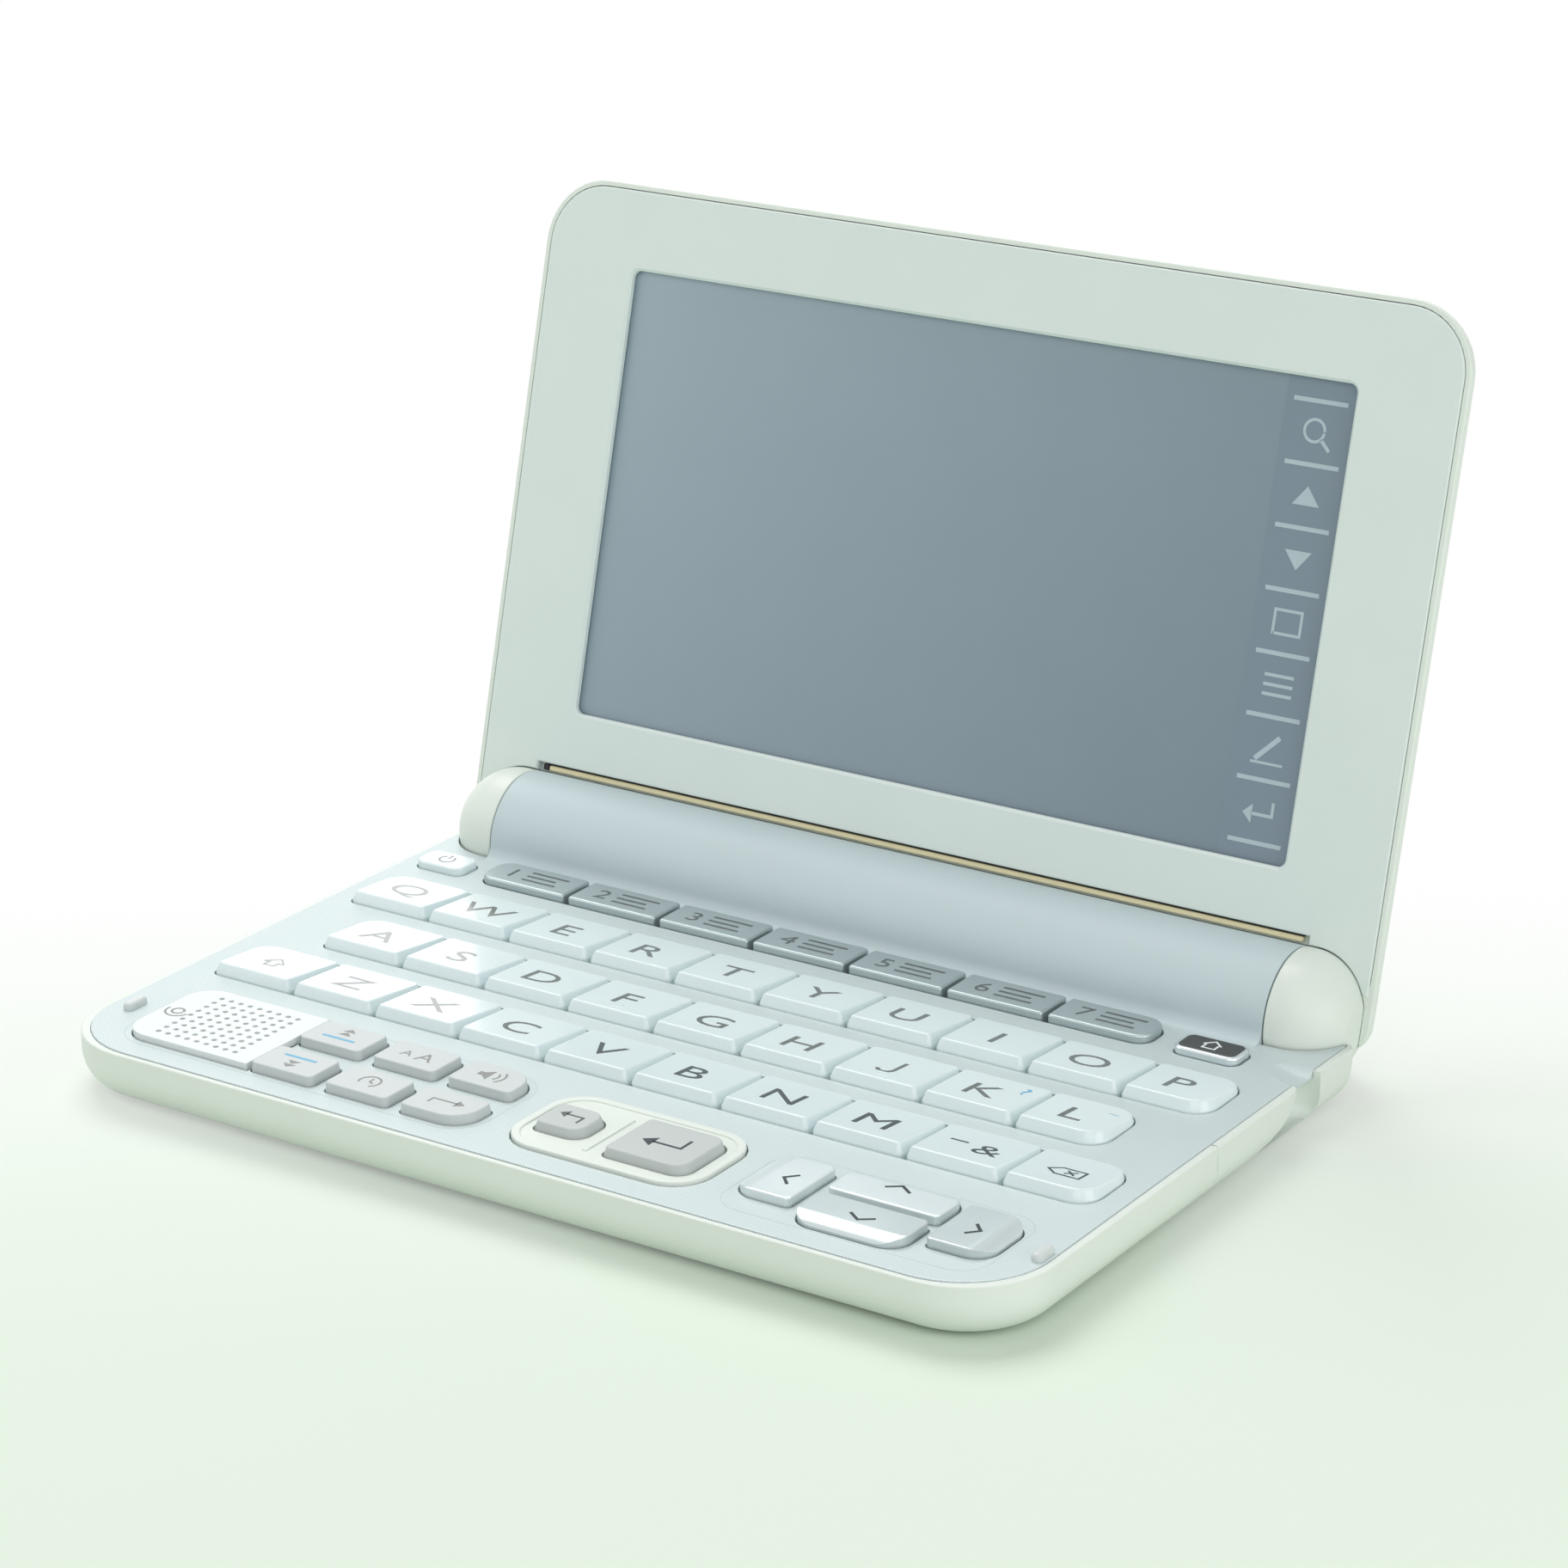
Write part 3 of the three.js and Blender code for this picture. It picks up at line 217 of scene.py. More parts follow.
class Shell:
    """A mesh in the making, in millimetres, with a material number for each face."""

    def __init__(self, sharp: float = 32.0) -> None:
        """Starts with no points and no faces.

        Args:
            sharp: Edges that turn by more than this many degrees stay sharp.
        """
        self.sharp = sharp
        self.points: list[Point3] = []
        self.faces: list[tuple[int, ...]] = []
        self.marks: list[int] = []

    def ring(self, points: Iterable[Point3]) -> range:
        """Adds points.

        Args:
            points: The points.

        Returns:
            Their numbers.
        """
        start = len(self.points)
        self.points.extend(tuple(point) for point in points)
        return range(start, len(self.points))

    def flat_ring(self, loop: Iterable[Point2], height: float | Height) -> range:
        """Adds a loop at a height, or at a height for each of its points."""
        return self.ring((x, y, height((x, y)) if callable(height) else height) for x, y in loop)

    def face(self, corners: Iterable[int], mark: int = 0) -> None:
        """Adds one face."""
        self.faces.append(tuple(corners))
        self.marks.append(mark)

    def band(self, low: Sequence[int], high: Sequence[int], mark: int = 0) -> None:
        """Joins two closed rings with as many points each.

        Args:
            low: The first ring.
            high: The second ring.
            mark: Material number.
        """
        for index, here in enumerate(low):
            after = (index + 1) % len(low)
            self.face((here, low[after], high[after], high[index]), mark)

    def patch(self, rings: Sequence[Sequence[int]], mark: int = 0) -> None:
        """Fills the face inside the first ring and outside the others.

        Args:
            rings: The rings, the outer one first.
            mark: Material number.
        """
        if len(rings) == 1:
            self.face(rings[0], mark)
            return
        numbers = [number for ring in rings for number in ring]
        loops = [[Vector(self.points[number]) for number in ring] for ring in rings]
        for corners in tessellate_polygon(loops):
            self.face((numbers[corner] for corner in corners), mark)

    def stack(self, rings: Sequence[Sequence[int]], marks: Sequence[int] = ()) -> None:
        """Joins rings in turn into a closed body, with a face at both ends.

        Args:
            rings: The rings, with as many points each.
            marks: Material numbers, one for each band and one for the last face.
        """
        for index in range(len(rings) - 1):
            self.band(rings[index], rings[index + 1], marks[index] if marks else 0)
        self.patch([rings[0]], marks[0] if marks else 0)
        self.patch([rings[-1]], marks[-1] if marks else 0)

    def layered(
        self,
        plan: Plan,
        levels: Sequence[tuple[float | Height, float]],
        segments: int = 8,
        marks: Sequence[int] = (),
    ) -> None:
        """Adds a body made of one outline at several heights and insets.

        Args:
            plan: The outline.
            levels: Heights with their insets, from the foot to the head.
            segments: Steps in each corner.
            marks: Material numbers, one for each band and one for the head.
        """
        rings = [self.flat_ring(plan.ring(inset, segments), height) for height, inset in levels]
        self.stack(rings, marks)

    def block(
        self,
        plan: Plan,
        foot: float,
        head: float,
        edge: float,
        steps: int = 4,
        segments: int = 8,
        draft: float = 0.0,
        marks: Sequence[int] = (),
    ) -> None:
        """Adds a block with a rounded upper edge.

        Args:
            plan: The outline.
            foot: Height of the underside.
            head: Height of the top.
            edge: Radius of the upper edge.
            steps: Steps in that rounding.
            segments: Steps in each corner.
            draft: How far the sides lean in above the deck.
            marks: Material numbers, one for each band and one for the head.
        """
        levels = [(foot, 0.0), (DECK_TOP, 0.0)] if draft else [(foot, 0.0)]
        self.layered(plan, levels + round_over(head, edge, steps, draft), segments, marks)

    def pierced(
        self,
        outline: Sequence[Point2],
        holes: Sequence[Sequence[Point2]],
        foot: float,
        head: float,
        edge: float,
        steps: int = 2,
    ) -> None:
        """Adds a plate with holes, its upper edges rounded.

        Args:
            outline: The plate's own loop, anticlockwise.
            holes: The holes' loops, anticlockwise.
            foot: Height of the underside.
            head: Height of the top.
            edge: Radius of the upper edges.
            steps: Steps in that rounding.
        """
        tops, bottoms = [], []
        for loop, side in [(outline, 1.0)] + [(hole, -1.0) for hole in holes]:
            rings = [self.flat_ring(loop, foot)]
            for height, inset in round_over(head, edge, steps):
                rings.append(self.flat_ring(moved_in(loop, side * inset), height))
            for low, high in zip(rings, rings[1:]):
                self.band(low, high)
            bottoms.append(rings[0])
            tops.append(rings[-1])
        self.patch(tops)
        self.patch(bottoms)

    def turned(self, profile: Sequence[Point2], segments: int, y: float = 0.0, z: float = 0.0) -> None:
        """Adds a body turned about a line along X.

        Args:
            profile: Pairs of x and radius; the first and last close the ends.
            segments: Steps round the line.
            y: The line's place in y.
            z: The line's height.
        """
        rings = []
        for x, radius in profile:
            turns = (step / segments * math.tau for step in range(segments))
            rings.append(self.ring((x, y + radius * math.cos(a), z + radius * math.sin(a)) for a in turns))
        self.stack(rings)

    def drawn(self, profile: Sequence[Point2], x0: float, x1: float, edge: float = 0.0) -> None:
        """Adds a (y, z) profile drawn out along X, its end edges rounded.

        Args:
            profile: The profile's points, anticlockwise seen from +X.
            x0: Left end.
            x1: Right end.
            edge: Radius of the end edges.
        """
        stations = [(x0, 0.0), (x1, 0.0)]
        if edge > 0:
            turns = [step / 3 * math.pi / 2 for step in range(4)]
            rise = [(edge * (1 - math.sin(a)), edge * (1 - math.cos(a))) for a in turns]
            stations = [(x0 + along, inset) for along, inset in reversed(rise)]
            stations += [(x1 - along, inset) for along, inset in rise]
        rings = []
        for x, inset in stations:
            rings.append(self.ring((x, y, z) for y, z in moved_in(profile, inset)))
        self.stack(rings)

    def mesh(self, name: str) -> bpy.types.Mesh:
        """Makes the Blender mesh, in metres.

        Args:
            name: The mesh's name.

        Returns:
            The mesh, its faces turned outwards and smooth between sharp edges.
        """
        made = bpy.data.meshes.new(name)
        made.from_pydata([[axis * MM for axis in point] for point in self.points], [], self.faces)
        for polygon, mark in zip(made.polygons, self.marks):
            polygon.material_index = mark
        tidy(made, self.sharp)
        return made


def flat_areas(work: bmesh.types.BMesh) -> dict[int, float]:
    """Finds the area of the flat region that each face lies in.

    Args:
        work: The mesh.

    Returns:
        The area for each face's number.
    """
    areas: dict[int, float] = {}
    for seed in work.faces:
        if seed.index in areas:
            continue
        region, front = {seed.index: seed}, [seed]
        while front:
            near = {other for edge in front.pop().edges for other in edge.link_faces}
            for other in near:
                alike = other.normal.dot(seed.normal) > LEVEL
                if alike and other.index not in region and other.index not in areas:
                    region[other.index] = other
                    front.append(other)
        total = sum(face.calc_area() for face in region.values())
        areas.update(dict.fromkeys(region, total))
    return areas


def corner_fans(vertex: bmesh.types.BMVert) -> list[list[bmesh.types.BMLoop]]:
    """Groups a vertex's corners that blend into each other, between sharp edges.

    Args:
        vertex: The vertex.

    Returns:
        The groups of corners.
    """
    waiting = {loop.face.index: loop for loop in vertex.link_loops}
    fans = []
    while waiting:
        fan, front = [], [waiting.popitem()[1]]
        while front:
            loop = front.pop()
            fan.append(loop)
            for edge in (loop.edge, loop.link_loop_prev.edge):
                if not edge.smooth:
                    continue
                for other in edge.link_faces:
                    if other.index in waiting:
                        front.append(waiting.pop(other.index))
        fans.append(fan)
    return fans


def tidy(mesh: bpy.types.Mesh, sharp: float) -> None:
    """Turns a mesh's faces outwards and smooths it between sharp edges, large flats staying flat.

    Args:
        mesh: The mesh.
        sharp: Edges that turn by more than this many degrees stay sharp.
    """
    work = bmesh.new()
    work.from_mesh(mesh)
    bmesh.ops.remove_doubles(work, verts=work.verts, dist=MM * WELD)
    bmesh.ops.recalc_face_normals(work, faces=work.faces)
    for face in work.faces:
        face.smooth = True
    for edge in work.edges:
        edge.smooth = edge.is_manifold and edge.calc_face_angle(math.pi) < math.radians(sharp)
    work.faces.index_update()
    areas = flat_areas(work)
    start, starts = 0, {}
    for face in work.faces:
        starts[face.index] = start
        start += len(face.loops)
    normals = [Vector((0.0, 0.0, 1.0))] * start
    for vertex in work.verts:
        for fan in corner_fans(vertex):
            weighted = (loop.face.normal * loop.calc_angle() * areas[loop.face.index] for loop in fan)
            total = sum(weighted, Vector())
            blend = total.normalized() if total.length > 0 else fan[0].face.normal.copy()
            for loop in fan:
                place = next(number for number, own in enumerate(loop.face.loops) if own == loop)
                normals[starts[loop.face.index] + place] = blend
    work.to_mesh(mesh)
    work.free()
    mesh.normals_split_custom_set(normals)


def carved(mesh: bpy.types.Mesh, tools: Sequence[bpy.types.Mesh], sharp: float = 32.0) -> bpy.types.Mesh:
    """Cuts tool meshes out of a mesh.

    Args:
        mesh: The body to cut.
        tools: What is taken away.
        sharp: Edges that turn by more than this many degrees stay sharp.

    Returns:
        The mesh that is left.
    """
    scene = bpy.context.scene
    body = bpy.data.objects.new("carved_body", mesh)
    scene.collection.objects.link(body)
    helpers = []
    for tool in tools:
        helper = bpy.data.objects.new("carving_tool", tool)
        scene.collection.objects.link(helper)
        modifier = body.modifiers.new("cut", "BOOLEAN")
        modifier.operation, modifier.solver, modifier.object = "DIFFERENCE", "EXACT", helper
        helpers.append(helper)
    graph = bpy.context.evaluated_depsgraph_get()
    left = bpy.data.meshes.new_from_object(body.evaluated_get(graph))
    left.name = mesh.name
    for spent in [body, *helpers]:
        bpy.data.objects.remove(spent)
    tidy(left, sharp)
    return left


@dataclass(frozen=True)
class Fit:
    """Where a piece belongs: the body that it rides on, its slot and the nodes that it stands for."""

    body: str
    slot: str
    nodes: tuple[str, ...] = ()


def lid_frame() -> Matrix:
    """The lid's own frame: X across, Y from the hinge axis up the lid, Z out of the screen."""
    turn = Matrix.Rotation(math.pi / 2 - LID_LEAN, 4, "X")
    return Matrix.Translation((0.0, HINGE_Y * MM, HINGE_Z * MM)) @ turn


# Finishes


class Effect(Enum):
    """What the surface of a finish shows when it is seen close."""

    MOULDED = "moulded"
    DOTTED = "dotted"
    BRUSHED = "brushed"
    POLISHED = "polished"


def srgb(red: float, green: float, blue: float) -> Colour:
    """Turns a display colour into the renderer's linear colour.

    Args:
        red: Red, from 0 to 255 like the other two.
        green: Green.
        blue: Blue.

    Returns:
        The linear colour.
    """

    def linear(value: float) -> float:
        """Turns one channel."""
        share = value / 255
        return share / 12.92 if share <= 0.04045 else ((share + 0.055) / 1.055) ** 2.4

    return linear(red), linear(green), linear(blue)


Value = float | Sequence[float] | bpy.types.NodeSocket


def feed(tree: bpy.types.NodeTree, node: bpy.types.Node, inputs: dict[int | str, Value]) -> None:
    """Links or sets a node's inputs.

    Args:
        tree: The tree that the node is in.
        node: The node.
        inputs: A socket to link or a number to set, for each input's name or number.
    """
    for place, value in inputs.items():
        if isinstance(value, bpy.types.NodeSocket):
            tree.links.new(value, node.inputs[place])
        else:
            node.inputs[place].default_value = value


def put(
    tree: bpy.types.NodeTree,
    kind: str,
    inputs: dict[int | str, Value] | None = None,
    **settings: object,
) -> bpy.types.Node:
    """Adds a shader node.

    Args:
        tree: The tree that it goes in.
        kind: Its type, without the word ShaderNode.
        inputs: What its inputs are linked or set to.
        **settings: Its own settings.

    Returns:
        The node.
    """
    node = tree.nodes.new(f"ShaderNode{kind}")
    for label, setting in settings.items():
        setattr(node, label, setting)
    feed(tree, node, inputs or {})
    return node


def maths(
    tree: bpy.types.NodeTree,
    operation: str,
    *values: Value,
    clamp: bool = False,
) -> bpy.types.NodeSocket:
    """Adds a Math node and returns its result."""
    return put(tree, "Math", dict(enumerate(values)), operation=operation, use_clamp=clamp).outputs[0]


def smooth(
    tree: bpy.types.NodeTree,
    value: bpy.types.NodeSocket,
    low: float,
    high: float,
) -> bpy.types.NodeSocket:
    """Turns a value into a soft step from 0 at the first bound to 1 at the second."""
    span = {"Value": value, "From Min": low, "From Max": high}
    return put(tree, "MapRange", span, interpolation_type="SMOOTHSTEP").outputs["Result"]


def seen(tree: bpy.types.NodeTree) -> bpy.types.NodeSocket:
    """Tells whether the camera, a reflection or a clear body looks at the surface.

    Args:
        tree: The material's or world's own tree.

    Returns:
        1 where it does, else 0.
    """
    path = put(tree, "LightPath").outputs
    also = maths(tree, "ADD", path["Is Camera Ray"], path["Is Glossy Ray"])
    return maths(tree, "ADD", also, path["Is Transmission Ray"], clamp=True)


class EffectGroups:
    """Shader node groups that the finishes share, each built once."""

    DOT_EDGES = (0.5, 0.2)
    BRUSH_STRETCH = (0.04, 1.0, 1.0)

    def __init__(self) -> None:
        """Builds every group."""
        self.mottle = self._mottle()
        grain = self._noise("grain", 2.0)
        self.close = {
            Effect.MOULDED: grain,
            Effect.POLISHED: grain,
            Effect.DOTTED: self._dots(),
            Effect.BRUSHED: self._noise("brush", 3.0, self.BRUSH_STRETCH),
        }

    @staticmethod
    def _empty(
        name: str,
        inputs: dict[str, str],
        outputs: dict[str, str],
    ) -> tuple[bpy.types.ShaderNodeTree, bpy.types.NodeOutputs, bpy.types.Node]:
        """Makes a group that holds nothing yet.

        Args:
            name: The group's name.
            inputs: The kind of each input.
            outputs: The kind of each output.

        Returns:
            The group, the sockets that its inputs arrive at, and the node for its outputs.
        """
        tree = bpy.data.node_groups.new(name, "ShaderNodeTree")
        for way, sockets in (("INPUT", inputs), ("OUTPUT", outputs)):
            for label, kind in sockets.items():
                tree.interface.new_socket(name=label, in_out=way, socket_type=f"NodeSocket{kind}")
        return tree, tree.nodes.new("NodeGroupInput").outputs, tree.nodes.new("NodeGroupOutput")

    def _mottle(self) -> bpy.types.ShaderNodeTree:
        """Slow changes of colour and gloss over a surface.

        Returns:
            The group.
        """
        numbers = dict.fromkeys(("Spread", "Gloss", "Gloss Spread", "Scale"), "Float")
        found = {"Colour": "Color", "Gloss": "Float"}
        tree, given, result = self._empty("mottle", {"Colour": "Color", **numbers}, found)
        place = put(tree, "TexCoord").outputs["Object"]
        noise = put(tree, "TexNoise", {"Vector": place, "Scale": given["Scale"], "Detail": 3.0})
        centred = maths(tree, "SUBTRACT", noise.outputs["Fac"], 0.5)
        factor = maths(tree, "MULTIPLY_ADD", centred, given["Spread"], 1.0)
        tint = put(tree, "VectorMath", {0: given["Colour"], "Scale": factor}, operation="SCALE")
        gloss = maths(tree, "MULTIPLY_ADD", centred, given["Gloss Spread"], given["Gloss"])
        feed(tree, result, {"Colour": tint.outputs[0], "Gloss": gloss})
        return tree

    def _noise(self, name: str, detail: float, stretch: Point3 | None = None) -> bpy.types.ShaderNodeTree:
        """Fine noise as a height: the skin of moulded plastic, or brushed lines.

        Args:
            name: The group's name.
            detail: How many finer layers the noise has.
            stretch: How far it is squeezed along each axis.

        Returns:
            The group.
        """
        tree, given, result = self._empty(name, {"Scale": "Float"}, {"Height": "Float"})
        place = put(tree, "TexCoord").outputs["Object"]
        if stretch:
            place = put(tree, "Mapping", {"Vector": place, "Scale": stretch}).outputs[0]
        noise = put(tree, "TexNoise", {"Vector": place, "Scale": given["Scale"], "Detail": detail})
        feed(tree, result, {"Height": noise.outputs["Fac"]})
        return tree

    def _dots(self) -> bpy.types.ShaderNodeTree:
        """Fine dots in a slanted net, as a height and a mask.

        Returns:
            The group.
        """
        tree, given, result = self._empty("dots", {"Scale": "Float"}, {"Height": "Float", "Mask": "Float"})
        place = put(tree, "TexCoord").outputs["Object"]
        turn = put(tree, "Mapping", {"Vector": place, "Rotation": (0.0, 0.0, math.radians(45))})
        net = {"Vector": turn.outputs[0], "Scale": given["Scale"], "Randomness": 0.0}
        cells = put(tree, "TexVoronoi", voronoi_dimensions="2D")
        feed(tree, cells, net)
        spot = smooth(tree, cells.outputs["Distance"], *self.DOT_EDGES)
        feed(tree, result, {"Height": spot, "Mask": spot})
        return tree


COAT_ROUGHNESS = 0.08
DOT_TINT = (0.80, 0.81, 0.82, 1.0)


@dataclass(frozen=True)
class Finish:
    """One finish: its colour, how it takes the light and what it shows close by."""

    name: str
    colour: Colour
    roughness: float
    metallic: float = 0.0
    coat: float = 0.0
    effect: Effect = Effect.MOULDED
    depth: float = 0.004
    scale: float = 2500.0
    spread: float = 0.05
    gloss_spread: float = 0.08
    mottle_scale: float = 90.0

    def build(self, groups: EffectGroups) -> bpy.types.Material:
        """Builds the material.

        Args:
            groups: The shared node groups.

        Returns:
            The material.
        """
        material = bpy.data.materials.new(self.name)
        material.use_nodes = True
        tree = material.node_tree
        colour = {
            "Colour": (*self.colour, 1.0),
            "Spread": self.spread,
            "Gloss": self.roughness,
            "Gloss Spread": self.gloss_spread,
            "Scale": self.mottle_scale,
        }
        mottle = put(tree, "Group", node_tree=groups.mottle)
        feed(tree, mottle, colour)
        close = put(tree, "Group", node_tree=groups.close[self.effect])
        feed(tree, close, {"Scale": self.scale})
        bump = put(tree, "Bump", {"Distance": self.depth * MM, "Height": close.outputs["Height"]})
        base = mottle.outputs["Colour"]
        if self.effect is Effect.DOTTED:
            darker = put(tree, "Mix", data_type="RGBA", blend_type="MULTIPLY")
            feed(tree, darker, {"Factor": close.outputs["Mask"], "A": base, "B": DOT_TINT})
            base = darker.outputs["Result"]
        inputs = {
            "Base Color": base,
            "Metallic": self.metallic,
            "Roughness": mottle.outputs["Gloss"],
            "Coat Weight": self.coat,
            "Coat Roughness": COAT_ROUGHNESS,
            "Normal": bump.outputs["Normal"],
        }
        feed(tree, tree.nodes["Principled BSDF"], inputs)
        return material


class Palette:
    """Every finish of the object, built once."""

    # The film's colour runs from darker at the lower right to lighter at the upper left: painted light.
    FILM_FALL = -0.27
    FILM_PAINTED_LIGHT = ((116, 133, 144), (149, 166, 177))

    def __init__(self) -> None:
        """Builds the materials."""
        groups = EffectGroups()
        finishes = (
            Finish("ivory", srgb(221, 229, 221), 0.42, coat=0.05, depth=0.003),
            # A cooler copy of the ivory for the bezel: painted reflection of bluish light on the same
            # plastic.
            Finish("bezel_ivory_painted_reflection", srgb(216, 227, 223), 0.45, coat=0.04, depth=0.003),
            Finish("bumper_grey", srgb(206, 213, 212), 0.4, depth=0.002),
            Finish("enter_grey", srgb(188, 195, 193), 0.5, depth=0.004),
            Finish("bevel_metal", srgb(246, 250, 250), 0.16, 0.85, effect=Effect.POLISHED, depth=0.001),
            Finish("deck_silver", srgb(203, 215, 215), 0.48, 0.12, effect=Effect.DOTTED, scale=3300.0),
            # The hump's silver: its rougher undotted skin is its own, its darker colour than the deck is
            # painted shade.
            Finish("barrel_silver_painted_shade", srgb(192, 206, 209), 0.58, 0.08, depth=0.002, scale=4000.0),
            Finish("key_white", srgb(222, 235, 236), 0.22, coat=0.35, depth=0.001, scale=900.0, spread=0.03),
            Finish("grille_white", srgb(224, 231, 229), 0.38, depth=0.002),
            Finish("pad_silver", srgb(176, 188, 190), 0.34, 0.55, effect=Effect.BRUSHED, depth=0.003),
            Finish("bright_metal", srgb(216, 224, 226), 0.14, 0.75, effect=Effect.POLISHED, depth=0.001),
            # Two copies of the arrow keys' silver, one darker and one lighter: painted shade and painted
            # light, not two finishes.
            Finish("silver_painted_dim", srgb(200, 210, 210), 0.3, 0.4, depth=0.002),
            Finish("silver_painted_lit", srgb(222, 231, 231), 0.3, 0.4, depth=0.002),
            Finish("gloss_black", srgb(52, 53, 50), 0.35, coat=0.08, depth=0.001, spread=0.1),
            Finish("page_grey", srgb(199, 206, 205), 0.5, depth=0.004),
            # Grey for the walls round the keys: painted shade that stands for the shadow deep in the gaps.
            Finish("gap_painted_shade", srgb(112, 120, 122), 0.7, depth=0.003),
            Finish("step_grey", srgb(184, 196, 197), 0.5, depth=0.001),
            Finish("print_dark", srgb(58, 62, 64), 0.18, coat=0.8, depth=0.0006),
            Finish("print_blue", srgb(96, 170, 205), 0.45, depth=0.001),
            Finish("print_white", srgb(232, 236, 236), 0.4, depth=0.001),
            Finish("print_grey", srgb(128, 130, 128), 0.45, depth=0.001),
            Finish("rubber", srgb(104, 108, 108), 0.75, depth=0.01),
            # Near black: the speaker driver's colour, and painted shade on the sheets that darken the
            # grille's holes and the slot under the lid's bezel.
            Finish("black_and_painted_shade", srgb(30, 31, 32), 0.7, depth=0.006),
            Finish("board_green", srgb(58, 112, 78), 0.45, depth=0.006, spread=0.12),
            Finish("steel", srgb(178, 182, 184), 0.28, 0.9, effect=Effect.BRUSHED),
            Finish("cell_wrap", srgb(66, 72, 80), 0.3, 0.2, spread=0.2),
            Finish("amber_strip", srgb(225, 215, 176), 0.4, depth=0.002, spread=0.1),
            Finish("strip_grey", srgb(122, 138, 151), 0.3, spread=0.04),
            Finish("screen_mark", srgb(176, 192, 200), 0.35, spread=0.03),
            Finish("display_grey", srgb(150, 160, 165), 0.3, spread=0.05),
        )
        self.materials = {finish.name: finish.build(groups) for finish in finishes}
        self.materials["screen_film"] = self._screen_film(groups)

    def __getitem__(self, name: str) -> bpy.types.Material:
        """Returns a material by its finish's name."""
        return self.materials[name]

    def _screen_film(self, groups: EffectGroups) -> bpy.types.Material:
        """The film over the display: grey-blue, with painted light that makes it lighter to the upper left,
        half gloss.

        Args:
            groups: The shared node groups.

        Returns:
            The material.
        """
        material = Finish("screen_film", srgb(140, 158, 168), 0.3, coat=0.12, depth=0.0008).build(groups)
        tree = material.node_tree
        split = put(tree, "SeparateXYZ", {0: put(tree, "TexCoord").outputs["Generated"]}).outputs
        slope = maths(tree, "MULTIPLY_ADD", split["Z"], self.FILM_FALL, split["X"])
        span = put(tree, "MapRange", {"Value": slope, "From Min": 1.0, "From Max": self.FILM_FALL})
        ramp = put(tree, "ValToRGB", {"Fac": span.outputs["Result"]})
        for element, shade in zip(ramp.color_ramp.elements, self.FILM_PAINTED_LIGHT):
            element.color = (*srgb(*shade), 1.0)
        mottle = next(node for node in tree.nodes if node.type == "GROUP" and "Colour" in node.inputs)
        feed(tree, mottle, {"Colour": ramp.outputs["Color"]})
        return material


# Printing


CAP_SHARE = 0.73
SIGN_STEPS = 4
INK_SINK = 0.01
INK_RISE = 0.02

Strokes = Sequence[tuple[Sequence[Point2], float]]


@dataclass(frozen=True)
class Print:
    """A sign printed on a surface: what it says, how high it is and how wide it runs."""

    text: str
    height: float
    stretch: float = 1.0


def glyphs(sign: Print) -> tuple[list[Point3], list[tuple[int, ...]]]:
    """Draws a sign flat, its middle at the origin.

    Args:
        sign: What to draw.

    Returns:
        Its points, in millimetres with a height of 0 or 1, and its faces.
    """
    curve = bpy.data.curves.new("sign", "FONT")
    curve.body = sign.text
    curve.size = sign.height / CAP_SHARE
    curve.resolution_u = SIGN_STEPS
    curve.extrude = 0.5
    holder = bpy.data.objects.new("sign", curve)
    bpy.context.scene.collection.objects.link(holder)
    graph = bpy.context.evaluated_depsgraph_get()
    mesh = bpy.data.meshes.new_from_object(holder.evaluated_get(graph))
    corners = [vertex.co.copy() for vertex in mesh.vertices]
    faces = [tuple(polygon.vertices) for polygon in mesh.polygons]
    bpy.data.objects.remove(holder)
    bpy.data.curves.remove(curve)
    bpy.data.meshes.remove(mesh)
    middle_x = (min(c.x for c in corners) + max(c.x for c in corners)) / 2
    middle_y = (min(c.y for c in corners) + max(c.y for c in corners)) / 2
    points = [((c.x - middle_x) * sign.stretch, c.y - middle_y, float(c.z > 0)) for c in corners]
    return points, faces


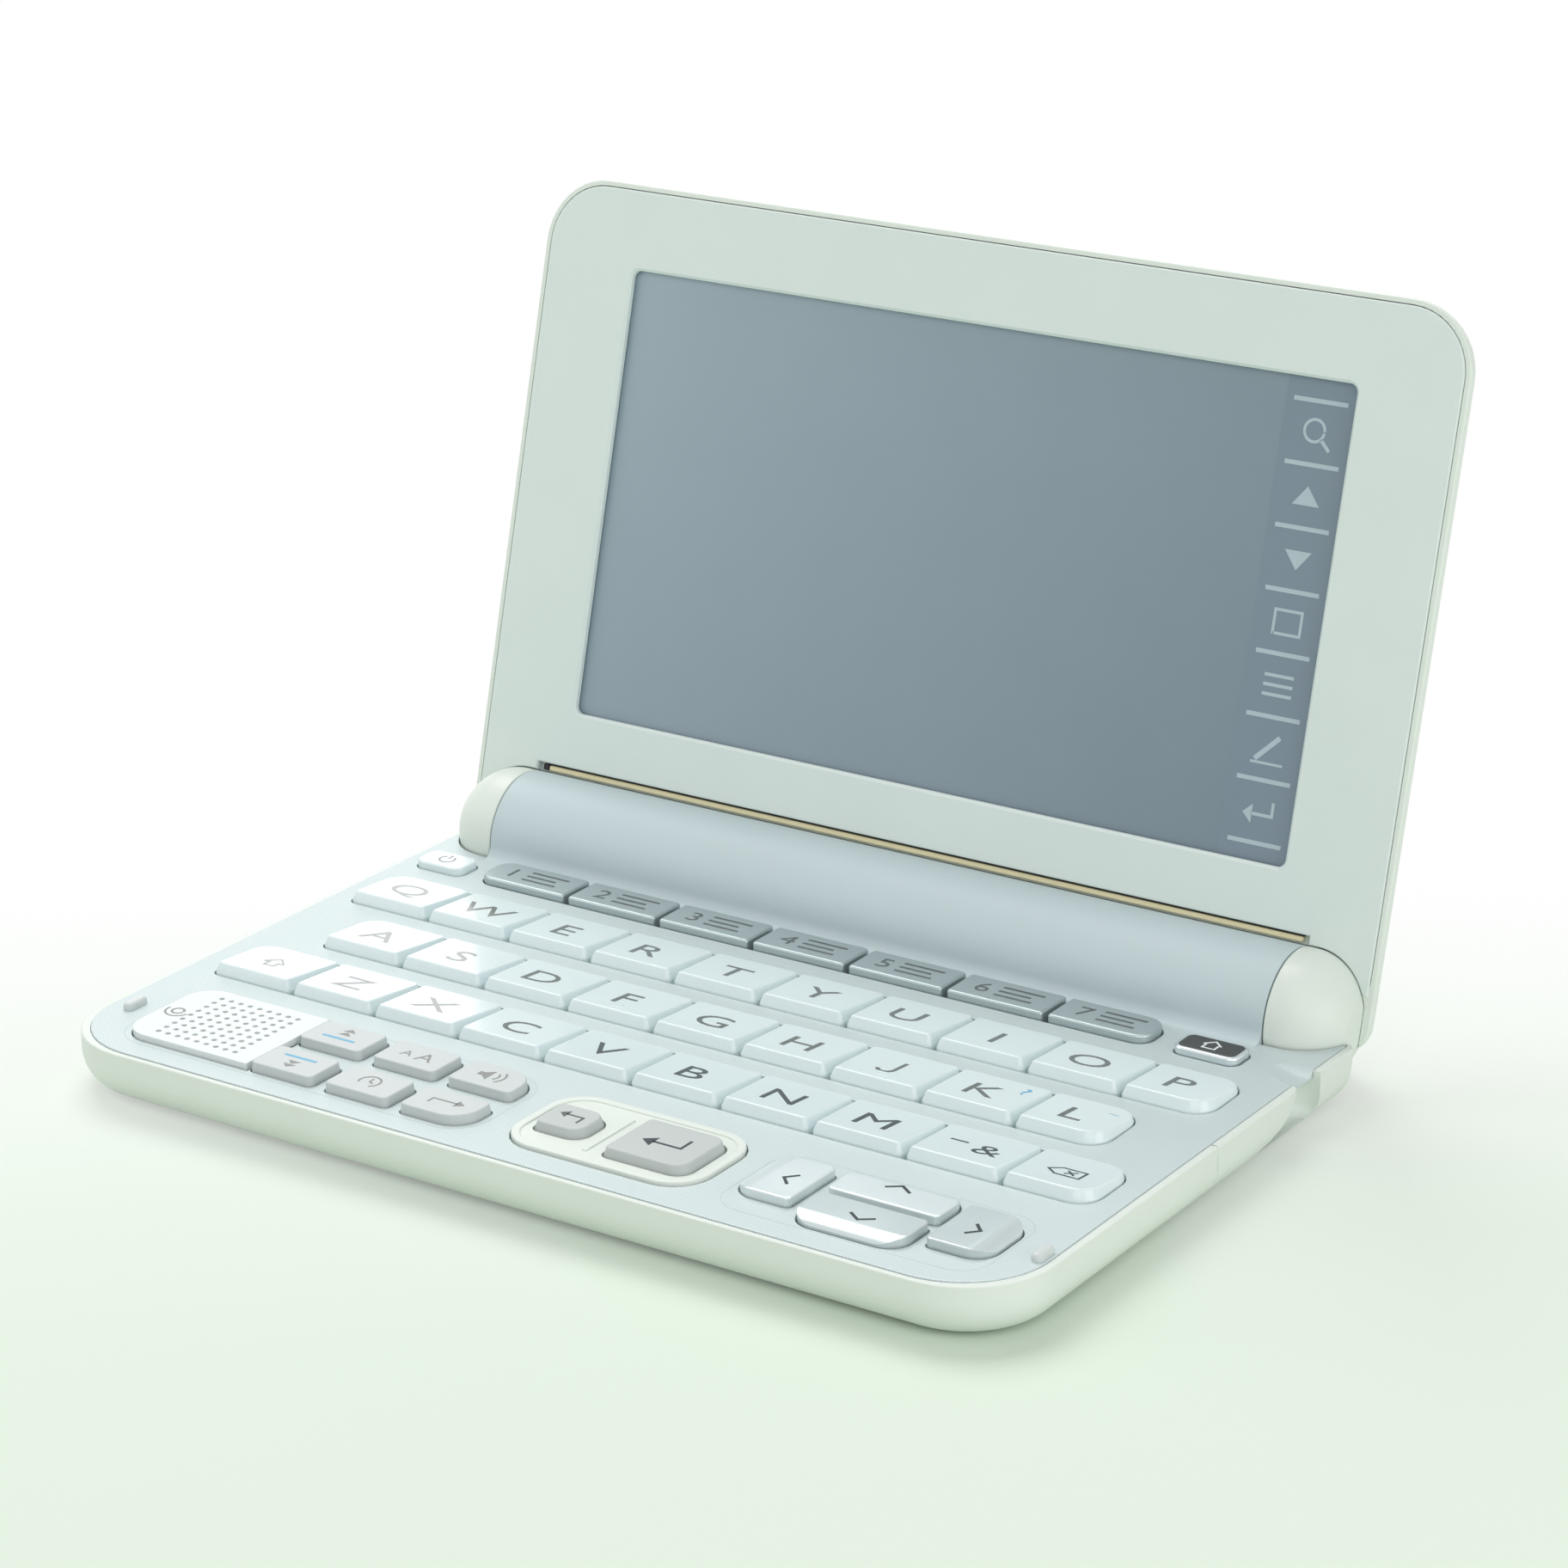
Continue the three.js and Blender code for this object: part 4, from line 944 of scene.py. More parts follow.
class Ink:
    """Signs and marks printed on one surface, in one colour."""

    def __init__(self, surface: Height) -> None:
        """Starts with nothing printed.

        Args:
            surface: The height of the surface at a point.
        """
        self.surface = surface
        self.shell = Shell()

    def sign(self, sign: Print, at: Point2) -> None:
        """Prints a sign.

        Args:
            sign: The sign.
            at: Where its middle goes.
        """
        points, faces = glyphs(sign)
        placed = []
        for x, y, level in points:
            spot = (x + at[0], y + at[1])
            placed.append((*spot, self.surface(spot) + (INK_RISE if level else -INK_SINK)))
        numbers = self.shell.ring(placed)
        for face in faces:
            self.shell.face(numbers[corner] for corner in face)

    def shape(self, loop: Sequence[Point2], at: Point2 = (0.0, 0.0)) -> None:
        """Prints a filled shape.

        Args:
            loop: Its outline, anticlockwise.
            at: Where the outline's origin goes.
        """
        moved = [(x + at[0], y + at[1]) for x, y in loop]
        low = self.shell.ring((x, y, self.surface((x, y)) - INK_SINK) for x, y in moved)
        high = self.shell.ring((x, y, self.surface((x, y)) + INK_RISE) for x, y in moved)
        self.shell.stack([low, high])

    def line(self, points: Sequence[Point2], width: float, at: Point2 = (0.0, 0.0)) -> None:
        """Prints an open line of even width.

        Args:
            points: The line's points.
            width: Its width.
            at: Where the points' origin goes.
        """
        left, right = [], []
        for index, here in enumerate(points):
            before = Vector(points[max(index - 1, 0)])
            after = Vector(points[min(index + 1, len(points) - 1)])
            one = (Vector(here) - before).normalized() if index else (after - Vector(here)).normalized()
            two = (after - Vector(here)).normalized() if index + 1 < len(points) else one
            normal = Vector((-one.y, one.x)) + Vector((-two.y, two.x))
            normal = normal / max(normal.length_squared / 2, 0.4)
            left.append(tuple(Vector(here) + normal * width / 2))
            right.append(tuple(Vector(here) - normal * width / 2))
        self.shape(right + left[::-1], at)

    def draw(self, strokes: Strokes, at: Point2 = (0.0, 0.0)) -> None:
        """Prints lines of a width, and filled shapes where the width is 0.

        Args:
            strokes: The points and the width of each.
            at: Where the points' origin goes.
        """
        for points, width in strokes:
            if width:
                self.line(points, width, at)
            else:
                self.shape(points, at)


def flat(height: float) -> Height:
    """A level surface."""
    return lambda _: height

# What the sub-assemblies share


class KeyField:
    """Outlines of every key, and of what else stands in the deck."""

    ROWS = (
        ("q", "w", "e", "r", "t", "y", "u", "i", "o", "p"),
        ("a", "s", "d", "f", "g", "h", "j", "k", "l"),
        ("shift", "z", "x", "c", "v", "b", "n", "m", "dash", "delete"),
    )
    FLANGE = 0.7
    LETTER_CORNER = 3.4
    NEAR_CORNER = 1.2
    INNER_CORNER = 0.9
    PAGE_CORNER = 4.0
    ARROW_CORNERS = (0.8, 3.2)
    ENTER_CORNERS = (1.2, 2.4, 2.4, 1.2)

    def __init__(self) -> None:
        """Reads the outlines."""
        deep, across, both = (0.0, self.FLANGE), (self.FLANGE, 0.0), (self.FLANGE, self.FLANGE)
        self.letters: dict[str, Plan] = {}
        self.slots: list[Plan] = []
        for names in self.ROWS:
            for name in names:
                radii = [self.INNER_CORNER] * 4
                if name == names[0]:
                    radii[0], radii[3] = self.NEAR_CORNER, self.LETTER_CORNER
                if name == names[-1]:
                    radii[1] = radii[2] = self.LETTER_CORNER
                self.letters[name] = Plan.of(f"key_{name}", radii, deep)
            first, last = self.letters[names[0]], self.letters[names[-1]]
            corners = (self.NEAR_CORNER, *(self.LETTER_CORNER,) * 3)
            self.slots.append(Plan(first.x0, last.x1, first.y0, first.y1, corners))
        self.strip = Plan.of("function_key_strip", (2.2, 2.2, 3.0, 2.2), both)
        self.power = Plan.of("key_power", (1.5,) * 4, deep)
        self.home = Plan.of("key_home", (1.5,) * 4, deep).stretched(-0.9, 0.0)
        self.pages: dict[str, Plan] = {}
        outer = {"jump": 1, "voice": 2}
        for name in ("down", "history", "jump", "up", "size", "voice"):
            radii = [self.INNER_CORNER] * 4
            if name in outer:
                radii[outer[name]] = self.PAGE_CORNER
            self.pages[name] = Plan.of(f"key_page_{name}", radii, deep)
        self.grille = Plan.of("speaker_grille", (4.0, 0.0, 0.0, 4.0))
        self.surround = Plan.of("enter_key_surround", (5.4,) * 4, both)
        self.back = Plan.of("key_back", self.ENTER_CORNERS, both)
        self.enter = Plan.of("key_enter", self.ENTER_CORNERS, both)
        small, large = self.ARROW_CORNERS
        self.arrows = {
            name: Plan.of(f"key_arrow_{name}", radii, reach).stretched(*ends)
            for name, radii, reach, ends in (
                ("left", (large, small, small, large), deep, (0.0, 0.0)),
                ("right", (small, large, large, small), deep, (1.25, 1.15)),
                ("up", (small, small, large, large), across, (0.0, 1.6)),
                ("down", (large, large, small, small), across, (0.0, 1.4)),
            )
        }

    def openings(self) -> list[Plan]:
        """Every opening of the deck, in no more than its own outline.

        Returns:
            The outlines.
        """
        return [
            *self.slots,
            self.strip,
            self.power,
            self.home,
            *self.pages.values(),
            self.grille,
            self.surround,
            *self.arrows.values(),
        ]


def ear_radius(x: float) -> float:
    """Radius of an ear.

    Args:
        x: The place along the hinge line.

    Returns:
        The radius.
    """
    along = abs(x) - EAR_START
    if along <= 0:
        return BARREL_RADIUS
    return BARREL_RADIUS * math.sqrt(max(1 - (along / EAR_LENGTH) ** 2, 0.0))


def ear_profile(start: float, growth: float, steps: int = 16) -> list[Point2]:
    """Half outline of the right ear, from its inner end to its tip.

    Args:
        start: Where it starts along the hinge line.
        growth: How much larger than the ear it is.
        steps: Steps along the rounded end.

    Returns:
        Pairs of x and radius.
    """
    end = math.acos((EAR_TIP_RADIUS + growth) / (BARREL_RADIUS + growth))
    profile = [(start, BARREL_RADIUS + growth), (EAR_START, BARREL_RADIUS + growth)]
    for step in range(1, steps + 1):
        angle = step / steps * end
        x = EAR_START + (EAR_LENGTH + growth) * math.sin(angle)
        profile.append((x, (BARREL_RADIUS + growth) * math.cos(angle)))
    return profile


def arc(middle: Point2, radius: float, start: float, end: float, steps: int) -> list[Point2]:
    """Points on an arc, its ends included; angles in radians."""
    turns = [start + (end - start) * step / steps for step in range(steps + 1)]
    return [(middle[0] + radius * math.cos(a), middle[1] + radius * math.sin(a)) for a in turns]


@dataclass
class Assembly:
    """A sub-assembly of the object."""

    palette: Palette

    def piece(
        self,
        name: str,
        body: Shell | bpy.types.Mesh,
        fit: Fit,
        *finishes: str,
        place: Matrix | None = None,
    ) -> bpy.types.Object:
        """Puts a body in the scene as a piece of the object.

        Args:
            name: The piece's name.
            body: What it is made of.
            fit: Where it belongs.
            *finishes: Its finishes, by material number.
            place: Its place, where it isn't drawn in place.

        Returns:
            The piece.
        """
        mesh = body.mesh(name) if isinstance(body, Shell) else body
        piece = bpy.data.objects.new(name, mesh)
        bpy.context.scene.collection.objects.link(piece)
        mesh.materials.clear()
        for finish in finishes:
            mesh.materials.append(self.palette[finish])
        if place is not None:
            mesh.transform(place)
        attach(piece, fit.body)
        if fit.nodes:
            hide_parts(*fit.nodes)
        return piece


@dataclass
class KeyAssembly(Assembly):
    """A sub-assembly that takes its outlines from the layout of the keys."""

    keys: KeyField

    def key(
        self,
        node: str,
        slot: str,
        cap: Shell | bpy.types.Mesh,
        finishes: Sequence[str],
        ink: Ink,
        ink_finish: str = "print_dark",
    ) -> list[bpy.types.Object]:
        """Makes a key.

        Args:
            node: The key's node and body in the frame.
            slot: Its slot.
            cap: Its cap.
            finishes: The cap's finishes.
            ink: What is printed on it.
            ink_finish: The finish of the print.

        Returns:
            The cap and the print.
        """
        return [
            self.piece(f"{node}_cap", cap, Fit(node, slot, (node,)), *finishes),
            self.piece(f"{node}_print", ink.shell, Fit(node, slot), ink_finish),
        ]


# Base


@dataclass
class LowerCase(Assembly):
    """The ivory lower case: its tray, its ears, the wall behind the barrel, and its feet."""

    corner: float = 12.5
    shoulder_corner: float = 1.6
    rounding: float = 4.5
    nose_length: float = 4.8
    nose_height: float = 5.4
    heel_length: float = 6.0
    heel_height: float = 6.8
    rim_top: float = 7.6
    rim_edge: float = 0.25
    floor: float = 1.2
    seat: Plan = Plan(-72.95, 72.95, -49.65, SHOULDER - 0.3, (12.4, 12.4, 0.7, 0.7))
    hollow: Plan = Plan(-72.3, 69.45, -47.4, 34.6, (11.0, 11.0, 1.5, 1.5))
    pen_room: Plan = Plan(70.2, HALF_WIDTH + 4, 2.7, 30.6, (0.5, 0.0, 0.0, 3.0))
    pen_levels: tuple[Point2, ...] = ((1.2, 1.4), (1.5, 0.8), (2.1, 0.3), (2.9, 0.0), (DECK_TOP + 4, 0.0))
    cell_room: tuple[float, float, float, float] = (35.0, -2.0, 60.0, 12.0)
    cell_room_half: float = 63.1
    wall_front: float = 34.85
    wall_top: float = 6.0
    bay_wall: float = 35.9
    bay_radius: float = 7.6
    bay_half: float = 56.3
    bay_rear: float = 56.0
    bay_top: float = 5.7
    below: float = -2.0
    rear_end: float = 63.3
    foot_radius: float = 4.0
    foot_height: float = 0.4
    foot_places: tuple[Point2, ...] = ((-60.0, -38.5), (-60.0, 21.9), (60.0, -38.5), (60.0, 21.9))

    def _level(self, z: float, inset: float = 0.0) -> list[Point2]:
        """The tray's outline at a height.

        Args:
            z: The height.
            inset: How far it is drawn in besides.

        Returns:
            The outline.
        """
        below = max(self.rounding - z, 0.0)
        side = self.rounding - math.sqrt(max(self.rounding**2 - below**2, 0.0)) + inset
        share = max(1 - z / self.nose_height, 0.0)
        nose = self.nose_length * (1 - math.sqrt(max(1 - share**2, 0.0))) + inset
        front, rear = self.corner - side, max(self.shoulder_corner - side, 1.0)
        lift = max(1 - z / self.heel_height, 0.0)
        heel = max(side, self.heel_length * (1 - math.sqrt(1 - lift**2)))
        radii = (front, front, rear, rear)
        plan = Plan(-HALF_WIDTH + side, HALF_WIDTH - side, FRONT + nose, SHOULDER - heel, radii)
        return plan.ring(0.0, 12)

    def _tray(self) -> bpy.types.Mesh:
        """The tray with the room for the pen's head and the finger notch cut out.

        Returns:
            The mesh.
        """
        shell = Shell()
        rings = []
        for step in range(15):
            z = self.nose_height * (1 - math.cos(step / 14 * math.pi / 2))
            rings.append(shell.flat_ring(self._level(z), z))
        for z, inset in round_over(self.rim_top, self.rim_edge, 3):
            rings.append(shell.flat_ring(self._level(z, inset), z))
        seat, hollow = self.seat.ring(0.0, 12), self.hollow.ring(0.0, 12)
        rings += [shell.flat_ring(seat, z) for z in (self.rim_top, DECK_UNDER)]
        rings += [shell.flat_ring(hollow, z) for z in (DECK_UNDER, self.floor)]
        shell.stack(rings)
        channel, room = Shell(), Shell()
        channel.layered(self.pen_room, self.pen_levels)
        room.drawn(oblong(*self.cell_room), -self.cell_room_half, self.cell_room_half)
        return carved(shell.mesh("lower_case_tray"), [channel.mesh("pen_channel"), room.mesh("cell_room")])

    def _rear(self) -> bpy.types.Mesh:
        """The wall behind and under the barrel, open where the battery cover goes.

        Returns:
            The mesh.
        """
        middle = (HINGE_Y, HINGE_Z)
        profile = [(self.wall_front, 0.02), (HINGE_Y - 0.5, 0.02)]
        profile += arc(middle, BARREL_RADIUS, -math.pi / 2, 0.0, 20)
        profile += arc(middle, self.bay_radius, 0.0, -math.pi / 2, 12)
        profile += [(self.bay_wall, 1.5), (self.bay_wall, self.wall_top), (self.wall_front, self.wall_top)]
        shell, opening = Shell(), Shell()
        shell.drawn(profile, -self.rear_end, self.rear_end)
        hole = oblong(self.bay_wall, self.below, self.bay_rear, self.bay_top)
        opening.drawn(hole, -self.bay_half, self.bay_half)
        return carved(shell.mesh("case_rear"), [opening.mesh("bay_opening")])

    def _ears(self) -> Shell:
        """Both ears.

        Returns:
            The shell.
        """
        shell = Shell()
        inner_end = HUMP_END + SEAM
        profile = [(inner_end, BARREL_RADIUS - HUMP_EDGE)] + ear_profile(inner_end + HUMP_EDGE, 0.0)
        for side in (1, -1):
            shell.turned([(side * x, radius) for x, radius in profile], 64, HINGE_Y, HINGE_Z)
        return shell

    def _feet(self) -> Shell:
        """Four round feet with rounded edges.

        Returns:
            The shell.
        """
        shell = Shell()
        radius, low = self.foot_radius, -self.foot_height
        for x, y in self.foot_places:
            box = Plan(x - radius, x + radius, y - radius, y + radius, (radius,) * 4)
            shell.layered(box, [(low, 0.3), (low + 0.1, 0.1), (-0.1, 0.0), (0.3, 0.0)])
        return shell

    def build(self) -> list[bpy.types.Object]:
        """Builds the case.

        Returns:
            Its pieces.
        """
        fit = Fit("base", "case")
        return [
            self.piece("lower_case_tray", self._tray(), Fit("base", "case", ("lower_case",)), "ivory"),
            self.piece("lower_case_rear", self._rear(), fit, "ivory"),
            self.piece("lower_case_ears", self._ears(), fit, "ivory"),
            self.piece("lower_case_feet", self._feet(), fit, "rubber"),
        ]


@dataclass
class BatteryCover(Assembly):
    """The cover under and behind the cells, with ridges for the thumb."""

    half_width: float = 56.0
    front: float = 36.2
    inner_radius: float = 7.8
    below_axis: float = 3.7
    edge: float = 0.3
    ridges: int = 5
    ridge_half: Point2 = (9.0, 0.3)
    ridge_start: float = 1.6
    ridge_pitch: float = 1.2
    ridge_rise: float = 0.2

    def build(self) -> list[bpy.types.Object]:
        """Builds the cover.

        Returns:
            The cover, as the only piece.
        """
        middle, foot = (HINGE_Y, HINGE_Z), HINGE_Z - BARREL_RADIUS
        long, wide = self.ridge_half
        outer_end = -math.asin(self.below_axis / BARREL_RADIUS)
        inner_end = -math.asin(self.below_axis / self.inner_radius)
        profile = [(self.front, foot)]
        profile += arc(middle, BARREL_RADIUS, -math.pi / 2, outer_end, 14)
        profile += arc(middle, self.inner_radius, inner_end, -math.pi / 2, 10)
        profile += [(self.front, HINGE_Z - self.inner_radius)]
        shell = Shell()
        shell.drawn(profile, -self.half_width, self.half_width, self.edge)
        levels = [(foot - self.ridge_rise, 0.15), (foot - self.ridge_rise / 2, 0.03), (foot + 0.3, 0.0)]
        for number in range(self.ridges):
            y = self.front + self.ridge_start + number * self.ridge_pitch
            shell.layered(Plan(-long, long, y - wide, y + wide, (0.28,) * 4), levels, 3)
        fit = Fit("battery_cover", "case", ("battery_cover",))
        return [self.piece("battery_cover_shell", shell, fit, "ivory")]


@dataclass
class Deck(KeyAssembly):
    """The silver deck cover: its plate with the key openings, the hump and two bumpers."""

    half: float = 72.88
    front: float = -49.56
    corner_y: float = 39.9
    corners: tuple[float, float, float, float] = (12.28, 12.28, 0.5, 0.5)
    edge: float = 0.16
    ear_gap: float = 0.3
    wall_reach: float = 0.25
    wall_lean: float = 0.05
    fillet: float = 2.0
    hump_inner: float = 7.9
    scoop_height: float = 4.4
    scoop_reach: float = 9.1
    scoop_front: float = 7.0
    scoop_rear: float = 2.9
    scoop_rise: float = 3.3
    scoop_y: float = 29.0
    step_margin: float = 1.2
    step_corner: float = 4.0
    arrow_margin: float = 0.7
    arrow_corner: float = 3.6
    step_width: float = 0.12
    bumper_left: float = -69.6
    bumper_right: float = 71.6
    bumper_y: float = -36.6
    bumper_rise: float = 1.0
    bumper_half: Point2 = (0.8, 2.0)
    bumper_corner: float = 0.78
    bumper_edge: float = 0.6

    def _ear_line(self, x: float) -> float:
        """Where the plate stops in front of an ear.

        Args:
            x: The place along the hinge line.

        Returns:
            The place in y.
        """
        reach = ear_radius(x) + self.ear_gap
        above = HINGE_Z - DECK_TOP
        return HINGE_Y - math.sqrt(max(reach**2 - above**2, 0.0))

    def _outline(self) -> list[Point2]:
        """The plate's outline, drawn round the ears.

        Returns:
            The outline.
        """
        ring = Plan(-self.half, self.half, self.front, self.corner_y, self.corners).ring(0.0, 12)
        span = self.half - self.corners[2] - EAR_START
        places = [EAR_START + span * step / 12 for step in range(12, -1, -1)]
        right = [(self.half, self.corner_y)] + [(x, self._ear_line(x)) for x in [*places, HUMP_END]]
        return ring[: len(ring) // 2] + right + mirrored(right)

    def _scoop(self) -> bpy.types.Mesh:
        """The room for the finger behind the pen's head, longer to the front than to the rear.

        Returns:
            The mesh to cut away.
        """
        tool = bmesh.new()
        bmesh.ops.create_uvsphere(tool, u_segments=96, v_segments=64, radius=MM)
        for vertex in tool.verts:
            depth = self.scoop_rear if vertex.co.y > 0 else self.scoop_front
            vertex.co *= Vector((self.scoop_reach, depth, self.scoop_height))
        centre = Vector((HALF_WIDTH - SEAM, self.scoop_y, DECK_TOP + self.scoop_rise)) * MM
        bmesh.ops.translate(tool, verts=tool.verts, vec=centre)
        scoop = bpy.data.meshes.new("finger_scoop")
        tool.to_mesh(scoop)
        tool.free()
        return scoop

    def _plate(self) -> bpy.types.Mesh:
        """The plate with its openings, their walls given a painted shade for the shadow in the gaps, and the
        scoop.

        Returns:
            The mesh.
        """
        shell = Shell()
        openings = self.keys.openings()
        holes = [plan.grown(SEAM).ring(0.0, 6) for plan in openings]
        shell.pierced(self._outline(), holes, DECK_UNDER, DECK_TOP, self.edge)
        plate = carved(shell.mesh("deck_plate"), [self._scoop()])
        near = [plan.grown(self.wall_reach) for plan in openings]
        # The walls round the openings take the painted shade of the gaps.
        for polygon in plate.polygons:
            x, y, z = polygon.center / MM
            upright = z < DECK_TOP - self.edge and abs(polygon.normal.z) < self.wall_lean
            if upright and any(plan.holds((x, y)) for plan in near):
                polygon.material_index = 1
        return plate

    def _hairline(self) -> Shell:
        """The faint steps round the page keys and round the arrow keys.

        Returns:
            The shell.
        """
        lines = Shell()
        pages, arrows, grille = self.keys.pages.values(), self.keys.arrows.values(), self.keys.grille
        pages_right, pages_rear = max(plan.x1 for plan in pages), max(plan.y1 for plan in pages)
        arrow_box = [
            min(plan.x0 for plan in arrows),
            max(plan.x1 for plan in arrows),
            min(plan.y0 for plan in arrows),
            max(plan.y1 for plan in arrows),
        ]
        page_box = [grille.x0, pages_right, grille.y0, pages_rear]
        for box, corner, margin in (
            (page_box, self.step_corner, self.step_margin),
            (arrow_box, self.arrow_corner, self.arrow_margin),
        ):
            plan = Plan(*box, (corner,) * 4).grown(margin)
            outer, inner = plan.ring(0.0, 10), plan.ring(self.step_width, 10)
            rings = ((outer, -INK_SINK), (outer, INK_RISE / 2), (inner, INK_RISE / 2), (inner, -INK_SINK))
            found = [lines.flat_ring(ring, DECK_TOP + rise) for ring, rise in rings]
            for low, high in zip(found, found[1:] + found[:1]):
                lines.band(low, high)
        return lines

    def _hump(self) -> Shell:
        """The hump over the barrel, with the fillet that meets the plate.

        Returns:
            The shell.
        """
        fillet_z = DECK_TOP + self.fillet
        span = BARREL_RADIUS + self.fillet
        rise = fillet_z - HINGE_Z
        fillet_y = HINGE_Y - math.sqrt(span**2 - rise**2)
        meet = math.atan2(rise, fillet_y - HINGE_Y)
        foot = math.pi + math.asin((HINGE_Z - DECK_UNDER) / self.hump_inner)
        middle = (HINGE_Y, HINGE_Z)
        profile = arc((fillet_y, fillet_z), self.fillet, -math.pi / 2, meet - math.pi, 10)
        profile += arc(middle, BARREL_RADIUS, meet, SEAM / BARREL_RADIUS, 44)[1:]
        profile += arc(middle, self.hump_inner, SEAM / self.hump_inner, foot, 24)
        profile += [(fillet_y, DECK_UNDER)]
        shell = Shell(40.0)
        shell.drawn(profile[::-1], -HUMP_END, HUMP_END, HUMP_EDGE)
        return shell

    def _bumper(self, x: float) -> Shell:
        """One bumper: a small round-ended block with a domed top.

        Args:
            x: Its place across.

        Returns:
            The shell.
        """
        shell = Shell()
        (wide, long), y = self.bumper_half, self.bumper_y
        plan = Plan(x - wide, x + wide, y - long, y + long, (self.bumper_corner,) * 4)
        shell.block(plan, DECK_UNDER, DECK_TOP + self.bumper_rise, self.bumper_edge, 6)
        return shell

    def build(self) -> list[bpy.types.Object]:
        """Builds the deck.

        Returns:
            Its pieces.
        """
        fit, plate_fit = Fit("base", "deck"), Fit("base", "deck", ("deck_cover",))
        return [
            self.piece("deck_plate", self._plate(), plate_fit, "deck_silver", "gap_painted_shade"),
            self.piece("deck_steps", self._hairline(), fit, "step_grey"),
            self.piece("deck_hump", self._hump(), fit, "barrel_silver_painted_shade"),
            self.piece("deck_bumper_left", self._bumper(self.bumper_left), fit, "bumper_grey"),
            self.piece("deck_bumper_right", self._bumper(self.bumper_right), fit, "bumper_grey"),
        ]


# Keys


@dataclass
class LetterKeys(KeyAssembly):
    """Three rows of letter keys, each with a top that rises to its front."""

    front_rise: float = 1.66
    rear_rise: float = 0.55
    front_draft: float = 0.9
    rear_draft: float = 0.3
    letter_height: float = 4.5
    letter_stretch: float = 1.28
    letter_shift: float = -0.25
    ridge_y: float = 2.6
    ridge_half: Point2 = (1.0, 0.25)

    SHIFT_STEM = ((0.8, -0.2), (0.8, -1.5), (-0.8, -1.5), (-0.8, -0.2))
    WALLS = ((-0.1, 0.0), (0.15, 0.06), (0.84, 0.62), (0.93, 0.74), (0.98, 0.87), (1.0, 1.0))
    SIGNS = {
        "j": [([(0.7, 2.25), *arc((-0.45, -1.1), 1.15, 0.0, -math.radians(165), 12)], 0.58)],
        "shift": [([(-1.6, -0.2), (0.0, 1.5), (1.6, -0.2), *SHIFT_STEM, (-1.7, -0.2)], 0.35)],
        "dash": [([(-3.7, 0.85), (-1.1, 0.85)], 0.4)],
        "delete": [
            ([(-0.9, 0.9), (2.5, 0.9), (2.5, -1.5), (-0.9, -1.5), (-2.4, -0.3), (-0.9, 0.9)], 0.32),
            ([(0.1, 0.3), (1.5, -0.9)], 0.32),
            ([(1.5, 0.3), (0.1, -0.9)], 0.32),
        ],
    }
    AND_SIGN = (Print("&", 3.4, 1.4), (2.3, -0.4))
    SECOND_SIGNS = {"k": (Print("?", 2.5, 1.3), (4.2, 2.7)), "l": (Print("~", 1.2, 1.6), (3.6, 2.7))}

    def _rise(self, plan: Plan, y: float) -> float:
        """How far the top stands above the deck at a place in y."""
        share = (plan.y1 - y) / (plan.y1 - plan.y0)
        return self.rear_rise + (self.front_rise - self.rear_rise) * share

    def _cap(self, plan: Plan) -> Shell:
        """One key cap: drafted walls, a rolled edge and a level, sloping top.

        Args:
            plan: The key's outline.

        Returns:
            The cap.
        """
        shell = Shell(40.0)
        outer, inner = plan.ring(0.0, 6), plan.ring(self.front_draft, 6)
        rings = [shell.flat_ring(outer, FLANGE_FOOT)]
        for height_share, draft_share in self.WALLS:
            points = []
            for (x0, y0), (x1, y1) in zip(outer, inner):
                share = (plan.y1 - y0) / (plan.y1 - plan.y0)
                draft = self.rear_draft + (self.front_draft - self.rear_draft) * share
                part = draft * draft_share / self.front_draft
                y = y0 + (y1 - y0) * part
                z = DECK_TOP + self._rise(plan, y) * height_share
                points.append((x0 + (x1 - x0) * part, y, z))
            rings.append(shell.ring(points))
        # The lowest band, from the flange to just under the deck, takes the painted shade of the gaps.
        shell.stack(rings, [1] + [0] * len(self.WALLS))
        return shell

    def _surface(self, plan: Plan) -> Height:
        """The height of a key's top."""
        return lambda point: DECK_TOP + self._rise(plan, point[1])

    def _print(self, name: str, plan: Plan, surface: Height) -> Ink:
        """What is printed on a key in dark ink.

        Args:
            name: The key's name.
            plan: Its outline.
            surface: The height of its top.

        Returns:
            The print.
        """
        ink = Ink(surface)
        x, y = plan.middle
        if name in self.SIGNS:
            ink.draw(self.SIGNS[name], (x, y + self.letter_shift))
        else:
            letter = Print(name.upper(), self.letter_height, self.letter_stretch)
            ink.sign(letter, (x + self.letter_shift, y + self.letter_shift))
        if name == "dash":
            sign, (shift_x, shift_y) = self.AND_SIGN
            ink.sign(sign, (x + shift_x, y + shift_y))
        return ink

    def _ridge(self, plan: Plan) -> Shell:
        """The small ridge that a finger feels on two of the keys.

        Args:
            plan: The key's outline.

        Returns:
            The ridge.
        """
        x, y = plan.middle[0], plan.y0 + self.ridge_y
        long, wide = self.ridge_half
        height = DECK_TOP + self._rise(plan, y)
        ridge = Shell()
        box = Plan(x - long, x + long, y - wide, y + wide, (0.24,) * 4)
        ridge.layered(box, [(height - 0.1, 0.0), (height + 0.12, 0.02), (height + 0.2, 0.14)], 3)
        return ridge

